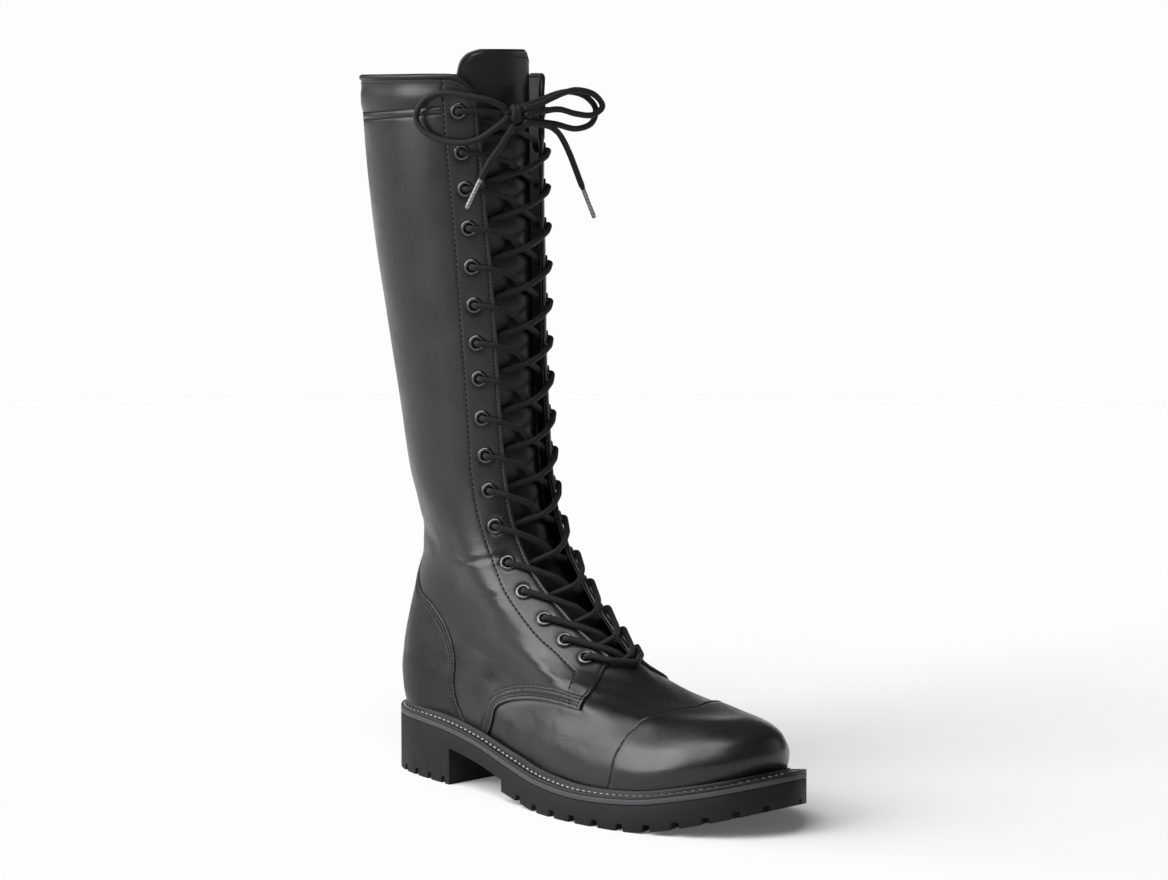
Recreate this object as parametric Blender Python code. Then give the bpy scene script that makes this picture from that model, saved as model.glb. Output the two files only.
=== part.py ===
"""Tall lace-up combat boot with a cap toe and a lugged sole, and a zip in the shaft's inner side.

It is the right foot's boot, standing empty. Metres, +Z up. The origin is on the floor under the
middle of the heel, +X points to the toe, +Y to the medial (inner) side, -Y to the lateral side.
"""
from functools import lru_cache
from math import cos, pi, radians, sin

import bmesh
import bpy
import numpy as np
from mathutils import Matrix, Vector
from mathutils.bvhtree import BVHTree

LATERAL = -1
MEDIAL = 1

# ---------------------------------------------------------------- driving sizes
GAP = 0.0003                 # between pieces that meet
BED = 0.0007                 # between the curved strip and what is built up on it
WALL = 0.0022                # leather and lining of the upper

HEEL_BACK = -0.036           # rearmost and foremost places of the sole, along the foot
TOE_TIP = 0.270
MIDSOLE = 0.0032             # grey strip between the outsole and the welt
SHANK = 0.009                # outsole's plate between heel and forefoot
HEEL_BREAST = 0.038          # front face of the heel block
FOREFOOT_START = 0.092       # rear face of the forefoot block
BLOCK_OVERLAP = 0.001        # how far a block reaches up into the plate
DECK_STEP = 0.002            # least distance between a slab's end and its next section

NOTCH_DEPTH = 0.0042         # height of the notches between the lugs
NOTCH_REACH = 0.012          # how far a notch runs in from the sole's edge
HEEL_NOTCH = (0.043, 0.0147, 4, 0.0040)       # first, pitch, count, width, along the edge from the back
FOREFOOT_NOTCH = (0.167, 0.0173, 11, 0.0052)
CHANNEL = 0.004              # groove between the edge lugs and the middle of the tread
EDGE_LUG = 0.0105            # width of the band of edge lugs outside that groove
HEEL_CHANNEL = (-0.022, 0.028)                # where the groove starts and ends, in X
FOREFOOT_CHANNEL = (0.108, 0.256)
LAND_NOTCH = 0.005           # width of the cross grooves in the forefoot's middle
LAND_NOTCHES = (0.120, 0.212, 0.232)          # where they cross, in X
LAND_INSET = 0.015           # how far from the sole's edge they stop
CUT_CLEAR = 0.003            # how far a tread cutter reaches past the tread's surface
NOTCH_MOUTH = 0.62           # half width of a notch at its mouth and its root, as shares of its width
NOTCH_ROOT = 0.38

WELT_EDGE = 0.0011           # the welt's thickness at its outer edge
WELT_RISE = 0.0042           # and where it meets the upper
WELT_LEVEL = 0.14            # level of the upper's face that the welt's top touches
INSOLE = 0.003
INSOLE_PLAY = 0.0008         # between the insole's edge and the inside of the upper
INSOLE_TIP = 0.002           # half width of the insole's two ends

EYELETS = 17                 # in each row
EYELET_BORE = 0.0025
EYELET_BARREL = 0.00305
EYELET_FLANGE = 0.0047
EYELET_HOLE = 0.0034
EYELET_SIDES = 8
EYELET_TAIL = 0.0025         # how far the barrel reaches below the leather's face
EYELET_CROWN = 0.0010        # how far the flange's inner edge stands up

TONGUE_DEPTH = 0.0083        # tongue's outer face below the upper's, under the laces
TONGUE_THICK = 0.0022

LACE = 0.0018                # radius of the lace
LACE_SIDES = 5
LACE_OVER = 0.0038           # its middle above the upper's face, where it lies on the facing
LACE_UNDER = 0.0048          # and below that face, where it lies under the facing
LACE_CROSS = 0.0012          # the two strands' offset from the face where they cross
LACE_EASE = 0.0002           # how much nearer to a facing's edge the lace lies than to its face
LACE_TOP_CROSS = 0.0034      # depth of the first crossing, which lies under both facings
LACE_TOP_SHIFT = 0.12        # levels from the top two bores to where their strands pass the edges

ZIP_SLOT = 0.0060            # half width of the opening in the shaft
ZIP_TAPE = 0.0056            # half width of the closed tape and teeth
ZIP_LOW = 9.35               # level of the zip's lower end
ZIP_TOP = 18.93              # and of the tape's upper end
ZIP_SINK = 0.0002            # the tape's outer face below the leather's
ZIP_THICK = 0.0016

# ---------------------------------------------------------------- tables
# Outline of the sole, seen from above: where the medial and the lateral edge are along the foot.
SOLE_COLUMNS = ("x", "medial_y", "lateral_y")
SOLE = (
    (HEEL_BACK, 0.0000, 0.0000),
    (-0.027, 0.0220, -0.0225),
    (0.000, 0.0345, -0.0355),
    (0.040, 0.0360, -0.0420),
    (0.080, 0.0350, -0.0480),
    (0.118, 0.0400, -0.0555),
    (0.153, 0.0490, -0.0605),
    (0.188, 0.0540, -0.0585),
    (0.218, 0.0515, -0.0505),
    (0.243, 0.0420, -0.0380),
    (0.260, 0.0270, -0.0225),
    (TOE_TIP, 0.0030, 0.0030),
)

# Top of the grey strip, from heel height through the waist to the toe spring.
WELT_LINE = (
    (-0.040, 0.0365),
    (0.000, 0.0365),
    (0.025, 0.0355),
    (0.060, 0.0315),
    (0.095, 0.0245),
    (0.130, 0.0188),
    (0.165, 0.0170),
    (0.200, 0.0185),
    (0.235, 0.0245),
    (0.272, 0.0345),
)

# Underside of the forefoot: flat under the ball, then rising to the toe.
TREAD_LINE = (
    (0.090, 0.0060),
    (0.112, 0.0025),
    (0.130, 0.0000),
    (0.150, 0.0000),
    (0.198, 0.0000),
    (0.215, 0.0018),
    (0.240, 0.0075),
    (0.270, 0.0165),
)

# Sections of the upper, each a closed ring from the back line to the front line. A ring tilts from
# back_z to front_z; back_y and front_y are its middle. heel to ball_medial are half widths, tail and
# nose the shares of the ring's length that round off its two ends, nose_power how square the nose
# is, and tip the share of the ball's width kept at the front.
RING_COLUMNS = (
    "back_x", "back_z", "front_x", "front_z", "back_y", "front_y", "heel",
    "waist_lateral", "waist_medial", "ball_lateral", "ball_medial",
    "tail", "nose", "nose_power", "tip",
)
RINGS = (
    (-.0305, .0395, .2570, .0375, .0000, .0010, .0310, .0420, .0290, .0545, .0465, .115, .30, 2.15, 1.00),
    (-.0335, .0520, .2585, .0470, .0000, .0010, .0325, .0410, .0300, .0545, .0465, .125, .28, 2.20, 1.00),
    (-.0350, .0630, .2555, .0560, .0000, .0010, .0325, .0380, .0305, .0515, .0440, .135, .28, 2.15, 1.00),
    (-.0350, .0730, .2475, .0623, .0000, .0010, .0315, .0350, .0305, .0465, .0400, .150, .30, 2.10, 0.97),
    (-.0340, .0830, .2330, .0654, .0000, .0000, .0305, .0330, .0295, .0425, .0355, .160, .34, 2.00, 0.90),
    (-.0325, .0930, .2130, .0646, .0000, .0000, .0295, .0320, .0290, .0400, .0335, .180, .40, 2.00, 0.80),
    (-.0300, .1040, .1920, .0658, .0000, -.0010, .0285, .0310, .0290, .0385, .0330, .200, .44, 2.00, 0.70),
    (-.0270, .1150, .1710, .0710, .0000, -.0010, .0280, .0310, .0290, .0370, .0330, .230, .48, 2.00, 0.68),
    (-.0235, .1270, .1510, .0813, .0000, -.0010, .0280, .0310, .0295, .0360, .0345, .270, .50, 2.00, 0.70),
    (-.0210, .1380, .1315, .0940, .0000, -.0005, .0285, .0320, .0305, .0360, .0345, .320, .50, 2.00, 0.75),
    (-.0205, .1480, .1130, .1075, .0000, .0000, .0295, .0330, .0315, .0360, .0350, .380, .50, 2.00, 0.82),
    (-.0220, .1590, .0985, .1215, .0000, .0005, .0310, .0340, .0330, .0360, .0355, .440, .50, 2.00, 0.90),
    (-.0245, .1710, .0855, .1380, .0000, .0000, .0330, .0355, .0345, .0365, .0360, .480, .50, 2.00, 0.96),
    (-.0270, .1850, .0765, .1590, -.0010, -.0010, .0350, .0365, .0360, .0370, .0365, .500, .50, 2.00, 1.00),
    (-.0290, .2030, .0715, .1850, -.0020, -.0020, .0370, .0375, .0375, .0380, .0375, .500, .50, 2.00, 1.00),
    (-.0320, .2280, .0695, .2170, -.0035, -.0035, .0390, .0390, .0390, .0390, .0390, .500, .50, 2.00, 1.00),
    (-.0370, .2650, .0680, .2600, -.0050, -.0050, .0415, .0415, .0415, .0415, .0415, .500, .50, 2.00, 1.00),
    (-.0440, .3150, .0665, .3130, -.0065, -.0065, .0450, .0450, .0450, .0450, .0450, .500, .50, 2.00, 1.00),
    (-.0495, .3650, .0655, .3650, -.0080, -.0080, .0480, .0480, .0480, .0480, .0480, .500, .50, 2.00, 1.00),
    (-.0530, .4150, .0655, .4165, -.0090, -.0090, .0495, .0495, .0495, .0495, .0495, .500, .50, 2.00, 1.00),
)
TOP = len(RINGS) - 1         # level of the collar; a level is a place between two rings
SOLE_FADE = 7.0              # level above which a ring no longer follows the sole's curve
RING_FOOT = 0.003            # ring 0 above the welt line

# Levels of the upper's rows of faces.
UPPER_LEVELS = (
    0, 0.6, 1.4, 2.4, 3.6, 5, 6.3, 7.3, 7.85, 8.05, 8.5, 9, 9.6, 10.2, 10.8, 11.4, 12.2, 13, 14.3,
    15.8, 17.4, TOP,
)
UPPER_STEPS = 12             # faces along each side of a ring

# Half the opening between the two facings.
THROAT = (
    (7.85, 0.0000),
    (8.05, 0.0085),
    (8.50, 0.0105),
    (9.00, 0.0125),
    (9.50, 0.0148),
    (10.5, 0.0172),
    (12.0, 0.0192),
    (14.0, 0.0202),
    (16.0, 0.0215),
    (17.5, 0.0238),
    (19.0, 0.0268),
)

# Eyelets of one row, top to bottom: level, and distance from the front line.
EYELET_ROWS = (
    (18.62, .0388), (18.16, .0372), (17.75, .0356), (17.31, .0345), (16.88, .0336), (16.47, .0330),
    (16.04, .0325), (15.58, .0320), (15.00, .0315), (14.32, .0312), (13.56, .0315), (12.64, .0330),
    (11.47, .0350), (10.36, .0362), (9.32, .0355), (8.56, .0333), (7.94, .0292),
)

# The tongue: half width at each level, rounded off at its top.
TONGUE_WIDTH = (
    (6.9, 0.0180), (7.4, 0.0200), (8.2, 0.0215), (9.0, 0.0235), (10.0, 0.0250), (11.0, 0.0260),
    (12.2, 0.0275), (13.6, 0.0285), (15.4, 0.0310), (17.2, 0.0350), (18.6, 0.0390), (19.0, 0.0395),
    (19.15, 0.0375), (19.24, 0.0325), (19.285, 0.0240),
)
# Depth of its outer face below the upper's face: it lies against the vamp at its root.
TONGUE_SINK = ((6.9, 0.0026), (7.4, 0.0030), (8.1, TONGUE_DEPTH), (20.0, TONGUE_DEPTH))

# The zip's line up the medial side: how far forward it is at each height.
ZIP_LINE = ((0.110, 0.0460), (0.150, 0.0400), (0.200, 0.0330), (0.300, 0.0240), (0.420, 0.0200))


# ---------------------------------------------------------------- smooth reading of tables
def table_curve(rows):
    """Function that reads a smooth curve, which never overshoots, through a table's rows."""
    rows = np.asarray(rows, float)
    knots, values = rows[:, 0], rows[:, 1:]
    step = np.diff(knots)[:, None]
    rise = np.diff(values, axis=0) / step
    slope = np.zeros_like(values)
    before, after = rise[:-1], rise[1:]
    weight_before = 2 * step[1:] + step[:-1]
    weight_after = step[1:] + 2 * step[:-1]
    same = before * after > 0
    steep = np.where(same, before, 1)
    steeper = np.where(same, after, 1)
    mean = (weight_before + weight_after) / (weight_before / steep + weight_after / steeper)
    slope[1:-1] = np.where(same, mean, 0)
    slope[0] = end_slope(step[0], step[1], rise[0], rise[1])
    slope[-1] = end_slope(step[-1], step[-2], rise[-1], rise[-2])

    def read(at):
        return hermite(knots, values, slope, np.clip(at, knots[0], knots[-1]))

    return read


def end_slope(near_step, far_step, near_rise, far_rise):
    """Slope at the end of a table, kept from overshooting."""
    slope = ((2 * near_step + far_step) * near_rise - near_step * far_rise) / (near_step + far_step)
    slope = np.where(slope * near_rise <= 0, 0, slope)
    limited = (near_rise * far_rise < 0) & (abs(slope) > abs(3 * near_rise))
    return np.where(limited, 3 * near_rise, slope)


def hermite(knots, values, slope, at):
    """Cubic through the knots with the given slopes, read at one place or many."""
    at = np.asarray(at, float)
    left = np.clip(np.searchsorted(knots, at, side="right") - 1, 0, len(knots) - 2)
    step = (knots[left + 1] - knots[left])[..., None]
    share = (at - knots[left])[..., None] / step
    rest = 1 - share
    return (
        values[left] * rest**2 * (1 + 2 * share)
        + values[left + 1] * share**2 * (1 + 2 * rest)
        + slope[left] * step * share * rest**2
        - slope[left + 1] * step * share**2 * rest
    )


def closed_curve(corners, count):
    """Evenly spaced points on a smooth closed curve through the corners."""
    ring = np.vstack([corners, corners[:1]])
    step = np.sqrt(np.linalg.norm(np.diff(ring, axis=0), axis=1))
    knots = np.concatenate([[0], np.cumsum(step)])
    number = len(corners)
    system = np.zeros((number, number))
    target = np.zeros((number, ring.shape[1]))
    for here in range(number):
        last = step[here - 1]
        following = step[here]
        system[here, here] = 2 * (1 / last + 1 / following)
        system[here, here - 1] += 1 / last
        system[here, (here + 1) % number] += 1 / following
        rise_in = (ring[here] - ring[(here - 1) % number]) / last**2
        rise_out = (ring[here + 1] - ring[here]) / following**2
        target[here] = 3 * (rise_in + rise_out)
    slope = np.linalg.solve(system, target)
    slope = np.vstack([slope, slope[:1]])
    return hermite(knots, ring, slope, np.linspace(0, knots[-1], count + 1))[:-1]


def open_curve(route, spacing):
    """Points about one spacing apart on a smooth curve through a route's points."""
    route = np.asarray(route, float)
    step = np.sqrt(np.linalg.norm(np.diff(route, axis=0), axis=1))
    knots = np.concatenate([[0], np.cumsum(step)])
    slope = np.gradient(route, knots, axis=0, edge_order=2)
    fine = hermite(knots, route, slope, np.linspace(0, knots[-1], 400))
    along = np.concatenate([[0], np.cumsum(np.linalg.norm(np.diff(fine, axis=0), axis=1))])
    count = max(int(round(along[-1] / spacing)), 4) + 1
    even = np.linspace(0, along[-1], count)
    return np.column_stack([np.interp(even, along, fine[:, axis]) for axis in range(3)])


welt_height = table_curve(WELT_LINE)
tread_height = table_curve(TREAD_LINE)
ring_sizes = table_curve([(level, *row) for level, row in enumerate(RINGS)])
throat_half = table_curve(THROAT)
tongue_half = table_curve(TONGUE_WIDTH)
tongue_sink = table_curve(TONGUE_SINK)
zip_forward = table_curve(ZIP_LINE)


# ---------------------------------------------------------------- the last's outer surface
def ring_points(level, turn, side):
    """Points of one side of a ring; turn runs from 0 at the back line to pi at the front line."""
    turn = np.asarray(turn, float)
    if level > TOP:
        over = level - TOP
        return ring_points(TOP, turn, side) * (1 + over) - ring_points(TOP - 1, turn, side) * over
    size = dict(zip(RING_COLUMNS, ring_sizes(level)))
    share = (1 - np.cos(turn)) / 2
    waist = size["waist_lateral"] if side == LATERAL else size["waist_medial"]
    ball = size["ball_lateral"] if side == LATERAL else size["ball_medial"]
    widths = ((0, size["heel"]), (0.12, size["heel"]), (0.42, waist), (0.70, ball), (1, ball * size["tip"]))
    half = table_curve(widths)(share)[..., 0]
    to_tail = np.clip((size["tail"] - share) / size["tail"], 0, 1)
    to_nose = np.clip((share - 1 + size["nose"]) / size["nose"], 0, 1)
    half = half * np.sqrt(1 - to_tail**2)
    half = half * (1 - to_nose ** size["nose_power"]) ** (1 / size["nose_power"])
    x = size["back_x"] + (size["front_x"] - size["back_x"]) * share
    y = size["back_y"] + (size["front_y"] - size["back_y"]) * share**1.5 + side * half
    fade = min(max(1 - level / SOLE_FADE, 0), 1)
    fade = fade * fade * (3 - 2 * fade)
    back_x, back_z, front_x, front_z = RINGS[0][:4]
    straight = back_z + (front_z - back_z) * np.clip((x - back_x) / (front_x - back_x), 0, 1)
    z = size["back_z"] + (size["front_z"] - size["back_z"]) * share
    z = z + fade * (welt_height(x)[..., 0] + RING_FOOT - straight)
    return np.stack([x, y, z], axis=-1)


@lru_cache(maxsize=None)
def half_ring(level, side):
    """One side of a ring from the front line to the back line: turns, points, distance along it."""
    turn = np.linspace(pi, 0, 181)
    points = ring_points(level, turn, side)
    along = np.concatenate([[0], np.cumsum(np.linalg.norm(np.diff(points, axis=0), axis=1))])
    return turn, points, along


def turn_at(level, side, arc):
    """Turn of the point that lies an arc's length from the front line."""
    turn, _, along = half_ring(level, side)
    return float(np.interp(arc, along, turn))


def face_point(level, arc):
    """Point on the outer face; arc is measured from the front line, positive on the medial side."""
    side = MEDIAL if arc > 0 else LATERAL
    turn = turn_at(round(level, 4), side, abs(arc))
    return Vector(ring_points(level, turn, side))


def face_normal(level, arc):
    """Outward direction of the outer face."""
    low = max(level - 0.05, 0)
    round_the_boot = face_point(level, arc + 0.001) - face_point(level, arc - 0.001)
    up_the_boot = face_point(level + 0.05, arc) - face_point(low, arc)
    return round_the_boot.cross(up_the_boot).normalized()


def off_face(level, arc, height):
    """Point at a height above the outer face, or below it where the height is negative."""
    return face_point(level, arc) + face_normal(level, arc) * height


# ---------------------------------------------------------------- the sole's outline
@lru_cache(maxsize=None)
def sole_edge(side, inset):
    """One edge of the sole from heel to toe, moved in by an inset, with distance along it."""
    rows = [dict(zip(SOLE_COLUMNS, row)) for row in SOLE]
    corners = [(row["x"], row["lateral_y"]) for row in rows]
    corners += [(row["x"], row["medial_y"]) for row in reversed(rows[1:-1])]
    edge = closed_curve(np.array(corners), 720)
    ahead = np.roll(edge, -1, axis=0) - np.roll(edge, 1, axis=0)
    ahead = ahead / np.linalg.norm(ahead, axis=1)[:, None]
    edge = edge + np.column_stack([-ahead[:, 1], ahead[:, 0]]) * inset
    edge = np.roll(edge, -int(edge[:, 0].argmin()), axis=0)
    toe = int(edge[:, 0].argmax())
    half = edge[:toe + 1]
    if (half[toe // 2, 1] > 0) == (side == LATERAL):
        half = np.vstack([edge[:1], edge[:toe - 1:-1]])
    along = np.concatenate([[0], np.cumsum(np.linalg.norm(np.diff(half, axis=0), axis=1))])
    return half, along


def edge_y(side, x, inset=0.0):
    """Where an edge of the sole is at a place along the foot."""
    half, _ = sole_edge(side, inset)
    return float(np.interp(x, np.maximum.accumulate(half[:, 0]), half[:, 1]))


def edge_at(side, distance, inset=0.0):
    """Point on an edge and its outward direction, at a distance along it from the back."""
    half, along = sole_edge(side, inset)
    point = np.array([np.interp(distance, along, half[:, axis]) for axis in range(2)])
    ahead = np.array([np.interp(distance + 0.001, along, half[:, axis]) for axis in range(2)]) - point
    outward = np.array([-ahead[1], ahead[0]]) * side
    return point, outward / np.linalg.norm(outward)


# ---------------------------------------------------------------- making objects
def material(name, colour, roughness, metallic=0.0):
    """A plain Principled material."""
    made = bpy.data.materials.new(name)
    made.use_nodes = True
    shader = made.node_tree.nodes["Principled BSDF"]
    shader.inputs["Base Color"].default_value = (*colour, 1)
    shader.inputs["Roughness"].default_value = roughness
    shader.inputs["Metallic"].default_value = metallic
    return made


def mesh_object(name, points, faces, finish=None):
    """An object from points and faces."""
    mesh = bpy.data.meshes.new(name)
    mesh.from_pydata([tuple(point) for point in points], [], faces)
    mesh.update()
    made = bpy.data.objects.new(name, mesh)
    bpy.context.scene.collection.objects.link(made)
    if finish:
        mesh.materials.append(finish)
    return made


def cutter(made):
    """Marks an object as one that only cuts."""
    made.hide_render = True
    made.display_type = "WIRE"
    return made


def boolean(made, tool, operation="DIFFERENCE"):
    """Cuts or joins an object with another."""
    modifier = made.modifiers.new(operation.title(), "BOOLEAN")
    modifier.operation = operation
    modifier.object = tool
    modifier.solver = "EXACT"


def outward(made):
    """Turns a closed mesh's faces outward."""
    work = bmesh.new()
    work.from_mesh(made.data)
    bmesh.ops.remove_doubles(work, verts=work.verts, dist=1e-6)
    bmesh.ops.recalc_face_normals(work, faces=work.faces)
    work.to_mesh(made.data)
    work.free()
    return made


def smooth(made, angle=35):
    """Shades an object smooth between its sharp edges."""
    made.data.shade_smooth()
    made.data.set_sharp_from_angle(angle=radians(angle))
    return made


def grid_faces(rows, columns, closed_rows=False, closed_columns=False):
    """Faces of a grid of points laid out row by row."""
    faces = []
    for row in range(rows if closed_rows else rows - 1):
        for column in range(columns if closed_columns else columns - 1):
            next_row = (row + 1) % rows
            next_column = (column + 1) % columns
            faces.append((
                row * columns + column,
                row * columns + next_column,
                next_row * columns + next_column,
                next_row * columns + column,
            ))
    return faces


def loft(name, sections, finish=None, closed=False):
    """A solid through sections that are rings of points; open lofts are capped."""
    count = len(sections[0])
    points = [point for section in sections for point in section]
    faces = grid_faces(len(sections), count, closed_rows=closed, closed_columns=True)
    if not closed:
        faces.append(tuple(range(count)))
        faces.append(tuple(range(len(points) - count, len(points))))
    return outward(mesh_object(name, points, faces, finish))


def sheet(name, rows, heights, finish=None):
    """A solid sheet on the boot's face: rows of (level, arcs), and its outer and inner heights."""
    sections = []
    for level, arcs in rows:
        outer_height, inner_height = heights(level)
        outer = [off_face(level, arc, outer_height) for arc in arcs]
        inner = [off_face(level, arc, inner_height) for arc in reversed(arcs)]
        sections.append(outer + inner)
    return loft(name, sections, finish)


def tube_rings(points, radius, sides):
    """Rings of a round rod along points, mitred where it turns."""
    points = [Vector(point) for point in points]
    rings = []
    across = (points[1] - points[0]).orthogonal().normalized()
    for here, point in enumerate(points):
        came = (point - points[here - 1]).normalized() if here else None
        goes = (points[here + 1] - point).normalized() if here + 1 < len(points) else None
        came = came or goes
        goes = goes or came
        ahead = (came + goes).normalized()
        bend = came.cross(goes)
        along_came = (across - came * across.dot(came)).normalized()
        second = came.cross(along_came)
        ring = []
        for side in range(sides):
            turn = 2 * pi * side / sides
            offset = along_came * cos(turn) * radius + second * sin(turn) * radius
            if bend.length > 1e-6:
                offset = offset - came * (offset.dot(ahead) / came.dot(ahead))
            ring.append(point + offset)
        rings.append(ring)
        across = along_came - goes * along_came.dot(goes)
        if bend.length > 1e-6:
            turned = Matrix.Rotation(came.angle(goes), 3, bend.normalized())
            across = turned @ along_came
    return rings


def rod(name, points, radius, sides, finish=None):
    """A round rod along points."""
    return loft(name, tube_rings(points, radius, sides), finish)


# ---------------------------------------------------------------- the sole
def deck(name, start, end, low, high, finish=None, steps=20):
    """A slab with the sole's outline between two places along the foot."""
    middle = (TOE_TIP + HEEL_BACK) / 2
    half = (TOE_TIP - HEEL_BACK) / 2
    places = [middle - half * cos(pi * step / steps) for step in range(steps + 1)]
    inner = [x for x in places if start + DECK_STEP < x < end - DECK_STEP]
    places = [start + GAP] + inner + [end - GAP]
    sections = []
    for x in places:
        lateral = edge_y(LATERAL, x)
        medial = edge_y(MEDIAL, x)
        bottom = low(x)
        top = high(x)
        sections.append([(x, lateral, bottom), (x, medial, bottom), (x, medial, top), (x, lateral, top)])
    return loft(name, sections, finish)


def strip_top(x):
    return float(welt_height(x)[0])


def strip_bottom(x):
    return strip_top(x) - MIDSOLE


def rubber_top(x):
    return strip_bottom(x) - GAP


def plate_bottom(x):
    return rubber_top(x) - SHANK


def block_top(x):
    return plate_bottom(x) + BLOCK_OVERLAP


def tread(x):
    return float(tread_height(x)[0])


def floor(_):
    return 0.0


def notch(side, distance, width):
    """Cutter for one notch in the tread's edge, wider at its mouth."""
    point, outward_xy = edge_at(side, distance)
    out = Vector((*outward_xy, 0))
    along = Vector((-outward_xy[1], outward_xy[0], 0))
    base = Vector((*point, 0)) - out * NOTCH_REACH
    bottom = tread(point[0]) if point[0] > HEEL_BREAST else 0.0
    inner_bottom = tread(base.x) if point[0] > HEEL_BREAST else 0.0
    mouth = along * width * NOTCH_MOUTH
    root = along * width * NOTCH_ROOT
    sections = []
    for reach, surface in ((0, inner_bottom), (NOTCH_REACH + NOTCH_DEPTH, bottom)):
        low = base + out * reach + Vector((0, 0, surface - CUT_CLEAR))
        high = base + out * reach + Vector((0, 0, surface + NOTCH_DEPTH))
        sections.append([low - mouth, low + mouth, high + root, high - root])
    return loft("notch_cutter", sections)


def channel(ends, bottom):
    """Cutter for the groove that runs between the edge lugs and the middle of the tread."""
    start, end = ends
    steps = 8
    outline = []
    for side, order in ((LATERAL, range(steps + 1)), (MEDIAL, range(steps, -1, -1))):
        for step in order:
            x = start + (end - start) * (1 - cos(pi * step / steps)) / 2
            outline.append((x, edge_y(side, x, EDGE_LUG)))
    centre = np.mean(outline, axis=0)
    sections = []
    for place in outline:
        place = np.array(place)
        inner = place + (centre - place) / np.linalg.norm(centre - place) * CHANNEL
        low_outer, low_inner = bottom(place[0]), bottom(inner[0])
        sections.append([
            (*place, low_outer - CUT_CLEAR),
            (*inner, low_inner - CUT_CLEAR),
            (*inner, low_inner + NOTCH_DEPTH),
            (*place, low_outer + NOTCH_DEPTH),
        ])
    return loft("channel_cutter", sections, closed=True)


def cross_groove(x):
    """Cutter for a groove across the middle of the forefoot."""
    low = tread(x) - CUT_CLEAR
    high = tread(x) + NOTCH_DEPTH
    sections = []
    for y in (edge_y(LATERAL, x, LAND_INSET), edge_y(MEDIAL, x, LAND_INSET)):
        sections.append([
            (x - LAND_NOTCH / 2, y, low),
            (x + LAND_NOTCH / 2, y, low),
            (x + LAND_NOTCH / 2, y, high),
            (x - LAND_NOTCH / 2, y, high),
        ])
    return loft("groove_cutter", sections)


def joined(name, objects):
    """One object from several, as separate bodies in it."""
    points, faces = [], []
    for made in objects:
        start = len(points)
        points += [tuple(vertex.co) for vertex in made.data.vertices]
        faces += [tuple(start + index for index in face.vertices) for face in made.data.polygons]
        bpy.data.objects.remove(made)
    return mesh_object(name, points, faces)


def make_outsole(finish):
    """The moulded rubber unit: plate, heel block and forefoot block, with notches and channels."""
    outsole = deck("outsole", HEEL_BACK, TOE_TIP, plate_bottom, rubber_top, finish)
    heel = deck("heel_block", HEEL_BACK, HEEL_BREAST, floor, block_top)
    forefoot = deck("forefoot_block", FOREFOOT_START, TOE_TIP, tread, block_top)
    for block in (heel, forefoot):
        boolean(outsole, cutter(block), "UNION")
    tools = []
    for first, pitch, count, width in (HEEL_NOTCH, FOREFOOT_NOTCH):
        for side in (LATERAL, MEDIAL):
            for number in range(count):
                tools.append(notch(side, first + pitch * number, width))
    boolean(outsole, cutter(joined("edge_notches", tools)))
    grooves = [
        channel(HEEL_CHANNEL, floor),
        channel(FOREFOOT_CHANNEL, tread),
    ]
    grooves += [cross_groove(x) for x in LAND_NOTCHES]
    for groove in grooves:
        boolean(outsole, cutter(groove))
    return outsole


def make_midsole(finish):
    return deck("midsole", HEEL_BACK, TOE_TIP, strip_bottom, strip_top, finish)


def facet_corner(level, side, step):
    """Corner of the upper's facets at one step of a level, seen from above, and its way out."""
    turn = pi * step / UPPER_STEPS
    near = ring_points(level, np.clip([turn - 0.03, turn, turn + 0.03], 0, pi), side)[:, :2]
    ahead = near[2] - near[0]
    out = np.array([ahead[1], -ahead[0]]) * -side
    if step in (0, UPPER_STEPS):
        out = np.array([2 * step / UPPER_STEPS - 1, 0.0])
    return near[1], out / np.linalg.norm(out)


def welt_inner(side, step):
    """Corner of the welt's inner edge, just clear of the upper's."""
    corner, out = facet_corner(WELT_LEVEL, side, step)
    return corner + out * (2 * GAP), out


def welt_section(inner, out, side):
    """One section of the storm welt, sloping from the sole's edge up to the upper."""
    edge, _ = sole_edge(side, 0.0)
    away = edge - inner
    aside = abs(away @ np.array([-out[1], out[0]]))
    outer = edge[int(np.argmin(np.where(away @ out > 0, aside, 1)))]
    base_outer = strip_top(outer[0]) + BED
    base_inner = strip_top(inner[0]) + BED
    return [
        (*outer, base_outer),
        (*inner, base_inner),
        (*inner, base_inner + WELT_RISE),
        (*outer, base_outer + WELT_EDGE),
    ]


def make_welt(finish):
    """The welt all round, with two sections for each facet of the upper."""
    sections = []
    for side, order in ((LATERAL, range(2 * UPPER_STEPS)), (MEDIAL, range(2 * UPPER_STEPS, 0, -1))):
        for half_step in order:
            here, out = welt_inner(side, half_step // 2)
            if half_step % 2:
                following, out_following = welt_inner(side, half_step // 2 + 1)
                here, out = (here + following) / 2, out + out_following
                out = out / np.linalg.norm(out)
            sections.append(welt_section(here, out, side))
    return loft("welt", sections, finish, closed=True)


def make_insole(finish):
    """The board inside the upper, cut to the upper's own facets."""
    sections = []
    for step in range(UPPER_STEPS + 1):
        section = []
        for side in (LATERAL, MEDIAL):
            corner, out = facet_corner(0, side, step)
            x, y = corner - out * (WALL + INSOLE_PLAY)
            if step in (0, UPPER_STEPS):
                y += side * INSOLE_TIP
            section.append((x, y, strip_top(x) + BED))
        raised = [(x, y, z + INSOLE) for x, y, z in reversed(section)]
        sections.append(section + raised)
    return loft("insole", sections, finish)


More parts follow.
